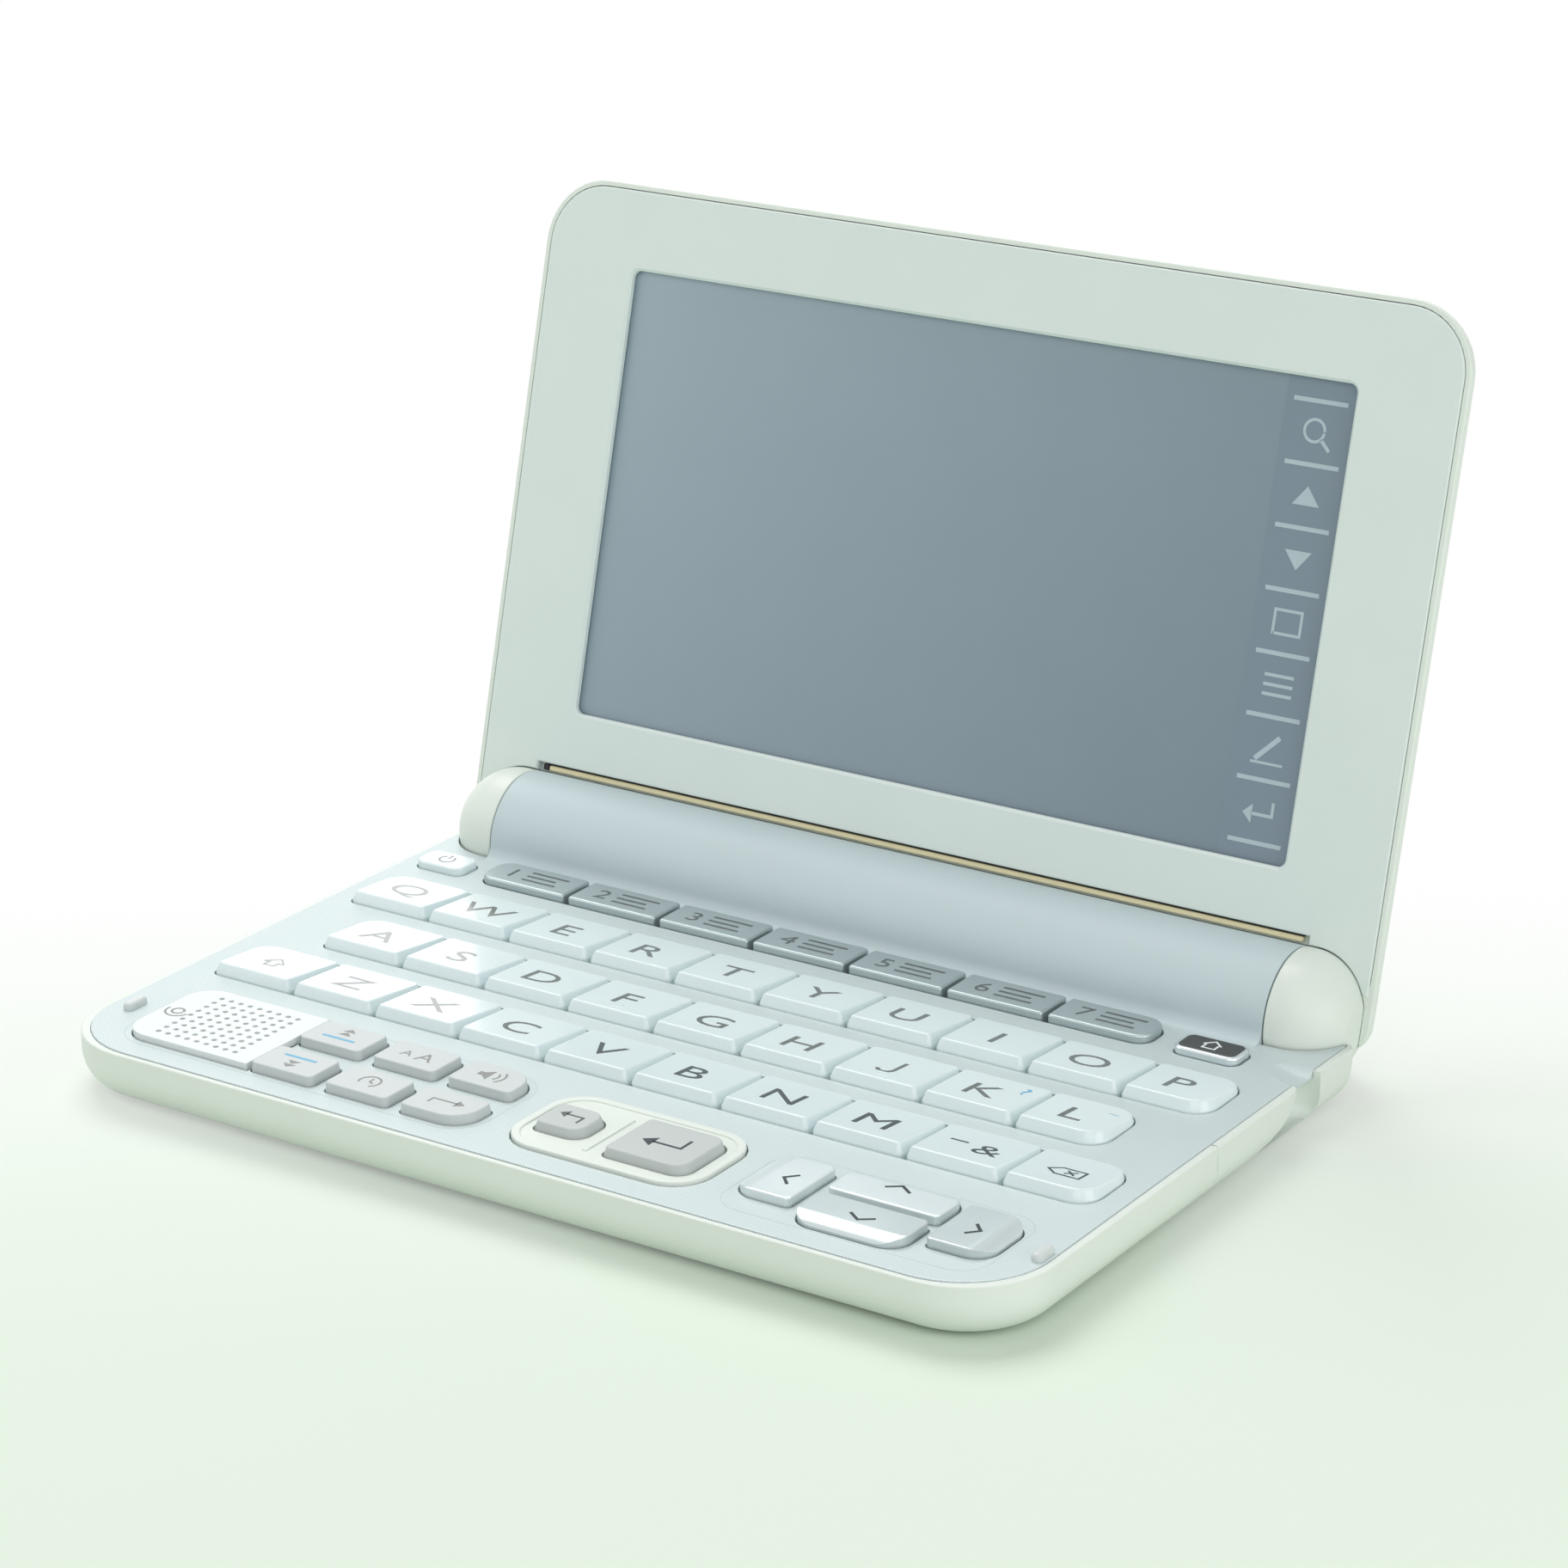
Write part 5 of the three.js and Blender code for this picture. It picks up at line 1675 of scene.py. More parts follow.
    def build(self) -> list[bpy.types.Object]:
        """Builds all the letter keys.

        Returns:
            Their pieces.
        """
        pieces = []
        for name, plan in self.keys.letters.items():
            node = f"key_{name}"
            fit, surface = Fit(node, "letter_key"), self._surface(plan)
            printed = self._print(name, plan, surface)
            pieces += self.key(node, "letter_key", self._cap(plan), ("key_white", "gap_painted_shade"), printed)
            if name in self.SECOND_SIGNS:
                sign, (x, y) = self.SECOND_SIGNS[name]
                blue = Ink(surface)
                blue.sign(sign, (plan.middle[0] + x, plan.middle[1] + y))
                pieces.append(self.piece(f"{node}_mark", blue.shell, fit, "print_blue"))
            if name in ("f", "j"):
                pieces.append(self.piece(f"{node}_ridge", self._ridge(plan), fit, "key_white"))
        return pieces


@dataclass
class TopRow(KeyAssembly):
    """The power key, the strip of seven function pads and the home key."""

    pads: int = 7
    gap: float = 0.8
    rise: float = 1.1
    edge: float = 0.4
    small_corner: float = 0.5
    row_pitch: float = 1.4
    row_width: float = 0.46
    number_x: float = -3.6
    sunk: float = 0.05
    black_inset: float = 0.5

    ROWS = ((-1.2, 5.2), (-1.2, 3.8), (-1.2, 4.6))
    POWER_SIGN = (
        (arc((0.0, 0.0), 1.15, math.radians(125), math.radians(415), 20), 0.3),
        ([(0.0, 0.3), (0.0, 1.5)], 0.3),
    )
    HOME_SIGN = (
        ([(-1.3, 0.1), (0.0, 1.3), (1.3, 0.1)], 0.28),
        ([(-0.9, 0.2), (-0.9, -1.1), (0.9, -1.1), (0.9, 0.2)], 0.28),
    )

    def _pads(self) -> list[Plan]:
        """The outline of each pad.

        Returns:
            The outlines, from the left.
        """
        strip = self.keys.strip
        pitch = (strip.x1 - strip.x0 + self.gap) / self.pads
        plans = []
        for number in range(self.pads):
            radii = [self.small_corner] * 4
            if number == 0:
                radii[0], radii[3] = strip.radii[0], strip.radii[3]
            if number == self.pads - 1:
                radii[1], radii[2] = strip.radii[1], strip.radii[2]
            x0 = strip.x0 + number * pitch
            plans.append(Plan(x0, x0 + pitch - self.gap, strip.y0, strip.y1, tuple(radii)))
        return plans

    def _strip(self, head: float) -> list[bpy.types.Object]:
        """The function pads on their strip, with numbers and lines.

        Args:
            head: The height of their tops.

        Returns:
            The pads and the print.
        """
        strip, ink = Shell(), Ink(flat(head))
        strip.layered(self.keys.strip.grown(KeyField.FLANGE), [(FLANGE_FOOT, 0.0), (FLANGE_TOP, 0.0)], 4)
        for number, plan in enumerate(self._pads()):
            strip.block(plan, FLANGE_FOOT, head, self.edge, 3, 6, marks=(0, 1, 1, 1, 0))
            x, y = plan.middle
            ink.sign(Print(str(number + 1), 3.0, 1.2), (x + self.number_x, y))
            for row, (start, end) in enumerate(self.ROWS):
                height = y + self.row_pitch * (1 - row)
                ink.line([(x + start, height), (x + end, height)], self.row_width)
        node, slot = "function_key_strip", "function_key"
        return [
            self.piece("function_pads", strip, Fit(node, slot, (node,)), "pad_silver", "bright_metal"),
            self.piece("function_pads_print", ink.shell, Fit(node, slot), "print_dark"),
        ]

    def _power(self, head: float) -> list[bpy.types.Object]:
        """The white power key with its sign.

        Args:
            head: The height of its top.

        Returns:
            The cap and the print.
        """
        shell, ink = Shell(), Ink(flat(head))
        shell.block(self.keys.power, FLANGE_FOOT, head, self.edge, segments=6)
        ink.draw(self.POWER_SIGN, self.keys.power.middle)
        return self.key("key_power", "function_key", shell, ("key_white",), ink)

    def _home(self, head: float) -> list[bpy.types.Object]:
        """The home key: a bright rim round a glossy black top, with a house on it.

        Args:
            head: The height of its top.

        Returns:
            The rim, the top and the print.
        """
        plan, fit = self.keys.home, Fit("key_home", "home_key")
        rim, top, ink = Shell(), Shell(), Ink(flat(head))
        low, inset = head - self.sunk, self.black_inset
        rim.block(plan, FLANGE_FOOT, low, self.edge, 3, 6)
        top.layered(plan, [(head - 0.2, inset), (low, inset), (head, inset + 0.08)], 6)
        ink.draw(self.HOME_SIGN, plan.middle)
        return [
            self.piece("key_home_rim", rim, Fit("key_home", "home_key", ("key_home",)), "bright_metal"),
            self.piece("key_home_top", top, fit, "gloss_black"),
            self.piece("key_home_print", ink.shell, fit, "print_white"),
        ]

    def build(self) -> list[bpy.types.Object]:
        """Builds the row and returns its pieces."""
        head = DECK_TOP + self.rise
        return self._strip(head) + self._power(head) + self._home(head)


@dataclass
class PageKeys(KeyAssembly):
    """Six grey keys beside the loudspeaker, in two rows."""

    rise: float = 1.3
    draft: float = 0.12
    edge: float = 0.22

    TIPS = [([(-1.0, foot), (1.0, foot), (0.0, foot + 0.95)], 0.0) for foot in (0.1, 1.2)]
    SIGNS = {
        "up": TIPS,
        "down": [([(x, -y) for x, y in reversed(tip)], width) for tip, width in TIPS],
        "history": [
            (arc((0.0, 0.0), 1.5, math.radians(-60), math.radians(210), 18), 0.3),
            ([(0.0, 0.9), (0.0, 0.0), (0.7, -0.4)], 0.3),
        ],
        "size": [],
        "voice": [
            ([(-2.2, -0.5), (-1.4, -0.5), (-0.3, -1.4), (-0.3, 1.4), (-1.4, 0.5), (-2.2, 0.5)], 0.0),
            (arc((-0.3, 0.0), 1.2, -0.8, 0.8, 8), 0.3),
            (arc((-0.3, 0.0), 2.1, -0.8, 0.8, 8), 0.3),
        ],
        "jump": [
            ([(-2.2, -0.9), (-2.2, 0.4), (1.6, 0.4)], 0.32),
            ([(1.4, -0.5), (2.7, 0.4), (1.4, 1.3)], 0.0),
        ],
    }
    BLUE_LINES = {"up": -1.1, "down": 1.1}
    BLUE_HALF, BLUE_WIDTH = 2.6, 0.5
    SIZE_LETTERS = ((1.6, -1.6), (2.4, 1.4))

    def build(self) -> list[bpy.types.Object]:
        """Builds the keys.

        Returns:
            Their pieces.
        """
        pieces = []
        head = DECK_TOP + self.rise
        for name, plan in self.keys.pages.items():
            node = f"key_page_{name}"
            shell, ink, blue = Shell(), Ink(flat(head)), Ink(flat(head))
            shell.block(plan, FLANGE_FOOT, head, self.edge, draft=self.draft)
            ink.draw(self.SIGNS[name], plan.middle)
            x, y = plan.middle
            if name == "size":
                for letter_height, shift in self.SIZE_LETTERS:
                    ink.sign(Print("A", letter_height, 1.2), (x + shift, y))
            pieces += self.key(node, "page_key", shell, ("page_grey",), ink, "print_grey")
            if name in self.BLUE_LINES:
                height = y + self.BLUE_LINES[name]
                blue.line([(x - self.BLUE_HALF, height), (x + self.BLUE_HALF, height)], self.BLUE_WIDTH)
                pieces.append(self.piece(f"{node}_mark", blue.shell, Fit(node, "page_key"), "print_blue"))
        return pieces


@dataclass
class EnterGroup(KeyAssembly):
    """The raised frame with the back key and the enter key in it."""

    frame_rise: float = 0.5
    well_rise: float = 0.28
    rim: float = 1.2
    rise: float = 1.5
    draft: float = 0.35
    edge: float = 0.35
    ridge_span: Point2 = (8.15, 9.05)
    frame_edge: float = 0.22
    well_edge: float = 0.08

    SIGNS = {
        "back": [
            ([(1.6, -1.2), (1.6, 0.5), (-1.0, 0.5)], 0.34),
            ([(-0.8, 1.5), (-2.0, 0.5), (-0.8, -0.5)], 0.0),
        ],
        "enter": [
            ([(2.6, 2.0), (2.6, -0.6), (-1.6, -0.6)], 0.42),
            ([(-1.4, 0.7), (-3.2, -0.6), (-1.4, -1.9)], 0.0),
        ],
    }

    def _frame(self) -> Shell:
        """The frame: a rim round a slightly lower well, and a ridge between the keys.

        Returns:
            The frame.
        """
        plan, enter = self.keys.surround, self.keys.enter
        shell = Shell()
        head, well = DECK_TOP + self.frame_rise, DECK_TOP + self.well_rise
        shell.pierced(plan.ring(0.0, 10), [plan.ring(self.rim, 10)], FLANGE_TOP, head, self.frame_edge, 3)
        holes = [key.grown(SEAM).ring(0.0, 8) for key in (self.keys.back, enter)]
        shell.pierced(plan.ring(self.rim - 0.05, 10), holes, FLANGE_TOP, well, self.well_edge)
        ridge = Plan(*self.ridge_span, enter.y0, enter.y1, (0.4,) * 4)
        shell.layered(ridge, [(well - 0.3, 0.0), (well, 0.0), (head - 0.02, 0.12), (head, 0.25)], 5)
        return shell

    def build(self) -> list[bpy.types.Object]:
        """Builds the group.

        Returns:
            Its pieces.
        """
        frame_fit = Fit("base", "deck", ("enter_key_surround",))
        pieces = [self.piece("enter_frame", self._frame(), frame_fit, "ivory")]
        head = DECK_TOP + self.rise
        for name, plan in (("back", self.keys.back), ("enter", self.keys.enter)):
            shell, ink = Shell(), Ink(flat(head))
            shell.block(plan, FLANGE_FOOT, head, self.edge, draft=self.draft)
            ink.draw(self.SIGNS[name], plan.middle)
            pieces += self.key(f"key_{name}", "page_key", shell, ("enter_grey",), ink)
        return pieces


@dataclass(frozen=True)
class Way:
    """How one arrow key lies: its outward direction, its sign, where that is printed and its top."""

    outward: tuple[int, int]
    turn: float
    place: Point2
    top: str
    sign: tuple[Point2, ...]
    widening: float = 1.0


@dataclass
class ArrowKeys(KeyAssembly):
    """Four arrow keys whose outer ends roll off in a polished bevel."""

    rise: float = 1.25
    edge: float = 0.25
    roll: tuple[Point2, ...] = ((0.0, -0.95), (0.35, -0.6), (0.9, -0.28), (1.6, -0.08), (2.2, 0.0))
    roll_sharp: float = 40.0
    bevel_lean: Point2 = (0.05, 0.95)
    sign_width: float = 0.45
    past: float = 3.0
    above: float = 4.0
    across: float = 20.0

    LEFT_SIGN = ((0.6, 1.5), (-0.8, 0.0), (0.6, -1.5))
    RIGHT_SIGN = ((-0.6, 1.5), (0.8, 0.0), (-0.6, -1.5))
    UP_SIGN = ((-1.8, -0.6), (0.0, 0.7), (1.8, -0.6))
    DOWN_SIGN = ((-1.8, 0.6), (0.0, -0.7), (1.8, 0.6))
    # The left and up keys take the lighter copy of the silver, the right and down keys the darker one:
    # painted light and shade.
    WAYS = {
        "left": Way((-1, 0), -math.pi / 2, (35.85, -37.0), "silver_painted_lit", LEFT_SIGN, 1.3),
        "right": Way((1, 0), math.pi / 2, (62.4, -37.0), "silver_painted_dim", RIGHT_SIGN, 1.3),
        "up": Way((0, 1), math.pi, (48.7, -32.0), "silver_painted_lit", UP_SIGN),
        "down": Way((0, -1), 0.0, (49.1, -41.6), "silver_painted_dim", DOWN_SIGN),
    }

    def _cap(self, direction: str, plan: Plan) -> bpy.types.Mesh:
        """One key, its outer end rolled off and marked as bevel.

        Args:
            direction: The key's direction.
            plan: Its outline.

        Returns:
            The mesh.
        """
        way, head = self.WAYS[direction], DECK_TOP + self.rise
        body, tool = Shell(), Shell()
        body.block(plan, FLANGE_FOOT, head, self.edge)
        roll = [(along * way.widening, height) for along, height in self.roll]
        foot, end = self.roll[0][1] - 1.5, self.roll[-1][0] * way.widening
        profile = [(-self.past, foot), *roll, (end, self.above), (-self.past, self.above)]
        tool.drawn(profile, -self.across, self.across)
        x, y = plan.middle
        out_x, out_y = way.outward
        edge_x = {-1: plan.x0, 0: x, 1: plan.x1}[out_x]
        edge_y = {-1: plan.y0, 0: y, 1: plan.y1}[out_y]
        wedge = tool.mesh("arrow_roll")
        place = Matrix.Translation((edge_x * MM, edge_y * MM, head * MM))
        wedge.transform(place @ Matrix.Rotation(way.turn, 4, "Z"))
        cut = carved(body.mesh(f"arrow_{direction}"), [wedge], self.roll_sharp)
        low, high = self.bevel_lean
        for polygon in cut.polygons:
            lean = polygon.normal.x * out_x + polygon.normal.y * out_y
            polygon.material_index = int(low < lean < high)
        return cut

    def build(self) -> list[bpy.types.Object]:
        """Builds the keys.

        Returns:
            Their pieces.
        """
        pieces = []
        for direction, plan in self.keys.arrows.items():
            way = self.WAYS[direction]
            ink = Ink(flat(DECK_TOP + self.rise))
            ink.line(way.sign, self.sign_width, way.place)
            cap = self._cap(direction, plan)
            pieces += self.key(f"key_arrow_{direction}", "arrow_key", cap, (way.top, "bevel_metal"), ink)
        return pieces


@dataclass
class Grille(KeyAssembly):
    """The loudspeaker grille: a raised plate with a field of round holes."""

    rise: float = 0.85
    holes: int = 9
    hole_radius: float = 0.38
    pitch: float = 1.63
    shift: float = 0.55
    edge: float = 0.06
    skirt: float = 1.2
    # Inset of the near-black sheet of painted shade under the plate.
    shade: float = 1.4
    sunk: float = 0.1
    microphone: Point2 = (-62.3, -36.3)

    MICROPHONE_SIGN = (
        (arc((0.0, 0.0), 0.85, 0.0, math.tau * 0.97, 18), 0.34),
        (arc((0.0, 0.0), 1.75, math.radians(165), math.radians(350), 14), 0.3),
    )

    def build(self) -> list[bpy.types.Object]:
        """Builds the grille.

        Returns:
            Its pieces.
        """
        plan, fit = self.keys.grille, Fit("base", "grille")
        x, y = plan.middle
        start = (self.holes - 1) / 2 * self.pitch
        holes = []
        for row in range(self.holes):
            for column in range(self.holes):
                spot = (x + self.shift - start + column * self.pitch, y - start + row * self.pitch)
                holes.append(circle(spot, self.hole_radius, 12))
        head, under = DECK_TOP + self.rise, DECK_TOP - self.sunk
        plate, skirt, shade, ink = Shell(), Shell(), Shell(), Ink(flat(head))
        plate.pierced(plan.ring(0.0, 10), holes, under, head, self.edge, 1)
        skirt.pierced(plan.ring(0.02, 10), [plan.ring(self.skirt, 10)], FLANGE_FOOT, under, 0.02, 1)
        # A near-black sheet under the plate: painted shade that darkens the holes.
        levels = [(under - 0.25, self.shade), (under - 0.1, self.shade), (under - 0.05, self.shade + 0.05)]
        shade.layered(plan, levels, 6)
        ink.draw(self.MICROPHONE_SIGN, self.microphone)
        return [
            self.piece("grille_plate", plate, Fit("base", "grille", ("speaker_grille",)), "grille_white"),
            self.piece("grille_skirt", skirt, fit, "grille_white"),
            self.piece("grille_painted_shade", shade, fit, "black_and_painted_shade"),
            self.piece("grille_print", ink.shell, fit, "print_grey"),
        ]


@dataclass
class Pen(Assembly):
    """The touch pen, stowed in the right side: a flat head and a round shaft."""

    top: float = 7.6
    top_edge: float = 0.25
    rounding: float = 4.5
    ledge_x: float = 72.95
    ledge_height: float = 6.45
    stations: tuple[tuple[float, float, float, float], ...] = (
        (3.0, 1.5, 0.12, 70.5),
        (3.12, 1.5, 0.0, 70.5),
        (15.5, 1.5, 0.0, 70.5),
        (17.7, 2.6, 0.0, 70.7),
        (20.2, 3.6, 0.02, 71.1),
        (22.2, 4.6, 0.08, 71.6),
        (23.6, 5.7, 0.2, 72.2),
        (24.3, 6.5, 0.32, 72.5),
        (24.7, 7.1, 0.5, 72.7),
    )
    shaft: tuple[Point2, ...] = ((-42.0, 0.5), (-36.0, 1.35), (3.3, 1.35))
    shaft_middle: Point2 = (71.4, 3.6)

    def _section(self, low: float, drawn_in: float, inner_x: float) -> list[Point2]:
        """The head's outline across, from its foot to its top, with a ledge under the deck.

        Args:
            low: The height of its foot.
            drawn_in: How far its outer side is drawn in.
            inner_x: Its inner side.

        Returns:
            The outline.
        """
        high, points = self.top, [(inner_x, low)]
        for step in range(10):
            z = low + (high - self.top_edge - low) * step / 9
            below = max(self.rounding - z, 0.0)
            side = self.rounding - math.sqrt(self.rounding**2 - below**2)
            points.append((HALF_WIDTH - side - drawn_in, z))
        points.append((HALF_WIDTH - self.top_edge - drawn_in, high))
        ledge_z = max(self.ledge_height, low + 0.03)
        return points + [(self.ledge_x, high), (self.ledge_x, ledge_z), (inner_x, ledge_z)]

    def build(self) -> list[bpy.types.Object]:
        """Builds the pen.

        Returns:
            The pen, as the only piece.
        """
        shell = Shell(38.0)
        head = [(y, self._section(*sizes)) for y, *sizes in self.stations]
        shaft = [(y, circle(self.shaft_middle, radius, 20)) for y, radius in self.shaft]
        for sections in (head, shaft):
            shell.stack([shell.ring((x, y, z) for x, z in section) for y, section in sections])
        return [self.piece("pen_body", shell, Fit("touch_pen", "case", ("touch_pen",)), "ivory")]


# Lid, drawn flat in its own frame


WINDOW = Plan(-58.2, 58.2, 18.4, 83.4, (1.2,) * 4)


@dataclass
class LidShell(Assembly):
    """The ivory lid: its back cover, and the bezel round the window."""

    length: float = 95.6
    corner: float = 9.7
    leg_end: float = 4.0
    leg_corner: float = 4.0
    face: float = -0.8
    back: float = -6.13
    rounding: float = 5.0
    rim: float = 0.9
    wall: float = 1.0
    seat_corner: float = 2.0
    edge: float = 0.3
    ear_room: float = 0.12
    bezel_thickness: float = 1.1
    bezel_foot: float = 10.3
    leg_foot: float = 4.0
    leg_outer: float = 72.3
    notch_half_width: float = 63.45
    chamfer: float = 0.4
    tray: Plan = Plan(-69.6, 69.6, 12.2, 91.2, (5.3,) * 4)
    strip: Plan = Plan(-61.4, 62.4, 9.24, 9.95, (0.2,) * 4)
    # Near-black blocks that paint the shadow under the bezel's foot and at the strip's left end.
    gap: Plan = Plan(-61.4, 62.4, 9.97, 10.4, (0.1,) * 4)
    end_painted_shadow: Plan = Plan(-62.5, -61.45, 9.2, 10.1, (0.1,) * 4)
    strip_foot: float = -2.05

    def _back_cover(self) -> bpy.types.Mesh:
        """The back cover: a shell with a rounded edge, hollow for the display.

        Returns:
            The mesh.
        """
        radii = (self.leg_corner, self.leg_corner, self.corner, self.corner)
        plan = Plan(-HALF_WIDTH, HALF_WIDTH, -self.leg_end, self.length, radii)
        rim_top = self.face - SEAM
        depth = rim_top - self.back - self.edge
        turns = [step / 10 * math.pi / 2 for step in range(10, -1, -1)]
        levels = [(self.back + (1 - math.sin(a)) * depth, self.rounding * (1 - math.cos(a))) for a in turns]
        levels += round_over(rim_top, self.edge, 3)[1:]
        shell = Shell()
        rings = [shell.flat_ring(plan.ring(inset, 10), height) for height, inset in levels]
        bezel_half, inner_corner = HALF_WIDTH - self.rim, self.corner - self.rim
        seat_radii = (self.seat_corner, self.seat_corner, inner_corner, inner_corner)
        seat = Plan(-bezel_half, bezel_half, self.leg_foot, self.length - self.rim, seat_radii)
        seat = seat.grown(SEAM * 0.6)
        floor = self.face - self.bezel_thickness - SEAM
        inner = ((seat, rim_top), (seat, floor), (self.tray, floor), (self.tray, self.back + self.wall))
        rings += [shell.flat_ring(hollow.ring(0.0, 10), height) for hollow, height in inner]
        shell.stack(rings)
        cut = Shell()
        half = ear_profile(self.ear_room, self.ear_room, 20)
        cut.turned(mirrored(half) + half, 64)
        return carved(shell.mesh("lid_back"), [cut.mesh("ear_room")])

    def _bezel_outline(self) -> list[Point2]:
        """The bezel's outline: rounded above, with two legs round the ears.

        Returns:
            The outline.
        """
        half, top, radius = HALF_WIDTH - self.rim, self.length - self.rim, self.corner - self.rim
        right = [(half, self.leg_foot)]
        right += arc((half - radius, top - radius), radius, 0.0, math.pi / 2, 12)
        foot = [(self.notch_half_width, self.bezel_foot)]
        for step in range(15):
            x = self.notch_half_width + (self.leg_outer - self.notch_half_width) * step / 14
            reach = ear_radius(x) + self.ear_room
            foot.append((x, math.sqrt(max(reach**2 - self.face**2, self.leg_foot**2))))
        return mirrored(foot) + foot + right + mirrored(right)

    def _bezel(self) -> Shell:
        """The bezel, with a light chamfer round its window.

        Returns:
            The shell.
        """
        shell = Shell()
        outline = self._bezel_outline()
        lower = self.face - self.bezel_thickness
        outer = [shell.flat_ring(outline, lower)]
        for height, inset in round_over(self.face, self.edge, 3):
            outer.append(shell.flat_ring(moved_in(outline, inset), height))
        inner = [
            shell.flat_ring(WINDOW.ring(0.0, 6), lower),
            shell.flat_ring(WINDOW.ring(0.0, 6), self.face - self.chamfer),
            shell.flat_ring(WINDOW.ring(-self.chamfer, 6), self.face),
        ]
        for rings in (outer, inner):
            for low, high in zip(rings, rings[1:]):
                shell.band(low, high)
        shell.patch([outer[-1], inner[-1]])
        shell.patch([outer[0], inner[0]])
        return shell

    def build(self) -> list[bpy.types.Object]:
        """Builds the lid's shells.

        Returns:
            Its pieces.
        """
        place, foot, fit = lid_frame(), self.strip_foot, Fit("lid", "case")
        back_fit, bezel_fit = Fit("lid", "case", ("lid_back_cover",)), Fit("lid", "case", ("lid_bezel",))
        strip, gap = Shell(), Shell()
        strip.layered(self.strip, [(foot, 0.0), (-1.25, 0.0), (-1.1, 0.12)], 3)
        # Painted shadow: near-black strips above the amber strip and at its left end.
        gap.layered(self.gap, [(foot, 0.0), (-1.95, 0.0), (-1.6, 0.02)], 2)
        gap.layered(self.end_painted_shadow, [(foot, 0.0), (-1.3, 0.0), (-1.2, 0.05)], 2)
        return [
            self.piece("lid_back", self._back_cover(), back_fit, "ivory", place=place),
            self.piece("lid_bezel_frame", self._bezel(), bezel_fit, "bezel_ivory_painted_reflection", place=place),
            self.piece("lid_strip", strip, fit, "amber_strip", place=place),
            self.piece("lid_strip_painted_shadow", gap, fit, "black_and_painted_shade", place=place),
        ]


@dataclass
class Screen(Assembly):
    """The touch panel with its grey-blue film, the column of soft keys and their marks."""

    margin: float = 2.6
    face: float = -2.2
    thickness: float = 0.8
    edge: float = 0.1
    column_span: Point2 = (47.5, 59.2)
    column_reach: float = 1.0
    bar_span: Point2 = (48.7, 56.7)
    bar_heights: tuple[float, ...] = (62.0, 53.5, 45.0, 36.5, 28.0, 19.5, 10.9, 2.4)
    bar_thickness: float = 0.6

    SIGNS = (
        [(arc((-0.3, 0.3), 1.5, 0.0, math.tau * 0.98, 20), 0.4), ([(0.8, -0.8), (2.2, -2.2)], 0.5)],
        [([(-2.0, -1.2), (2.0, -1.2), (0.0, 1.4)], 0.0)],
        [([(0.0, -1.4), (2.0, 1.2), (-2.0, 1.2)], 0.0)],
        [([*oblong(-2.0, -1.6, 2.0, 1.6), (-2.0, -1.8)], 0.4)],
        [([(-2.2, height), (2.2, height)], 0.45) for height in (-1.3, 0.0, 1.3)],
        [([(-1.8, -1.6), (1.5, 1.7)], 0.7), ([(-2.4, -2.0), (2.4, -2.0)], 0.35)],
        [([(2.0, 1.5), (2.0, -0.4), (-1.2, -0.4)], 0.45), ([(-1.0, 0.9), (-2.4, -0.4), (-1.0, -1.7)], 0.0)],
    )

    def build(self) -> list[bpy.types.Object]:
        """Builds the screen.

        Returns:
            Its pieces.
        """
        panel, column, marks = Shell(), Ink(flat(self.face)), Ink(flat(self.face + INK_RISE))
        levels = [(self.face - self.thickness, 0.0), (self.face - self.edge, 0.0), (self.face, self.edge)]
        panel.layered(WINDOW.grown(self.margin), levels, 4)
        left, right = self.column_span
        column.shape(oblong(left, WINDOW.y0 - self.column_reach, right, WINDOW.y1 + self.column_reach))
        for height in self.bar_heights:
            marks.line([(x, WINDOW.y0 + height) for x in self.bar_span], self.bar_thickness)
        for sign, above, below in zip(self.SIGNS, self.bar_heights, self.bar_heights[1:]):
            marks.draw(sign, (sum(self.bar_span) / 2, WINDOW.y0 + (above + below) / 2))
        slot, place = "screen_glass", lid_frame()
        return [
            self.piece("touch_film", panel, Fit("lid", slot, ("touch_panel",)), "screen_film", place=place),
            self.piece("soft_key_column", column.shell, Fit("lid", slot), "strip_grey", place=place),
            self.piece("soft_key_marks", marks.shell, Fit("lid", slot), "screen_mark", place=place),
        ]


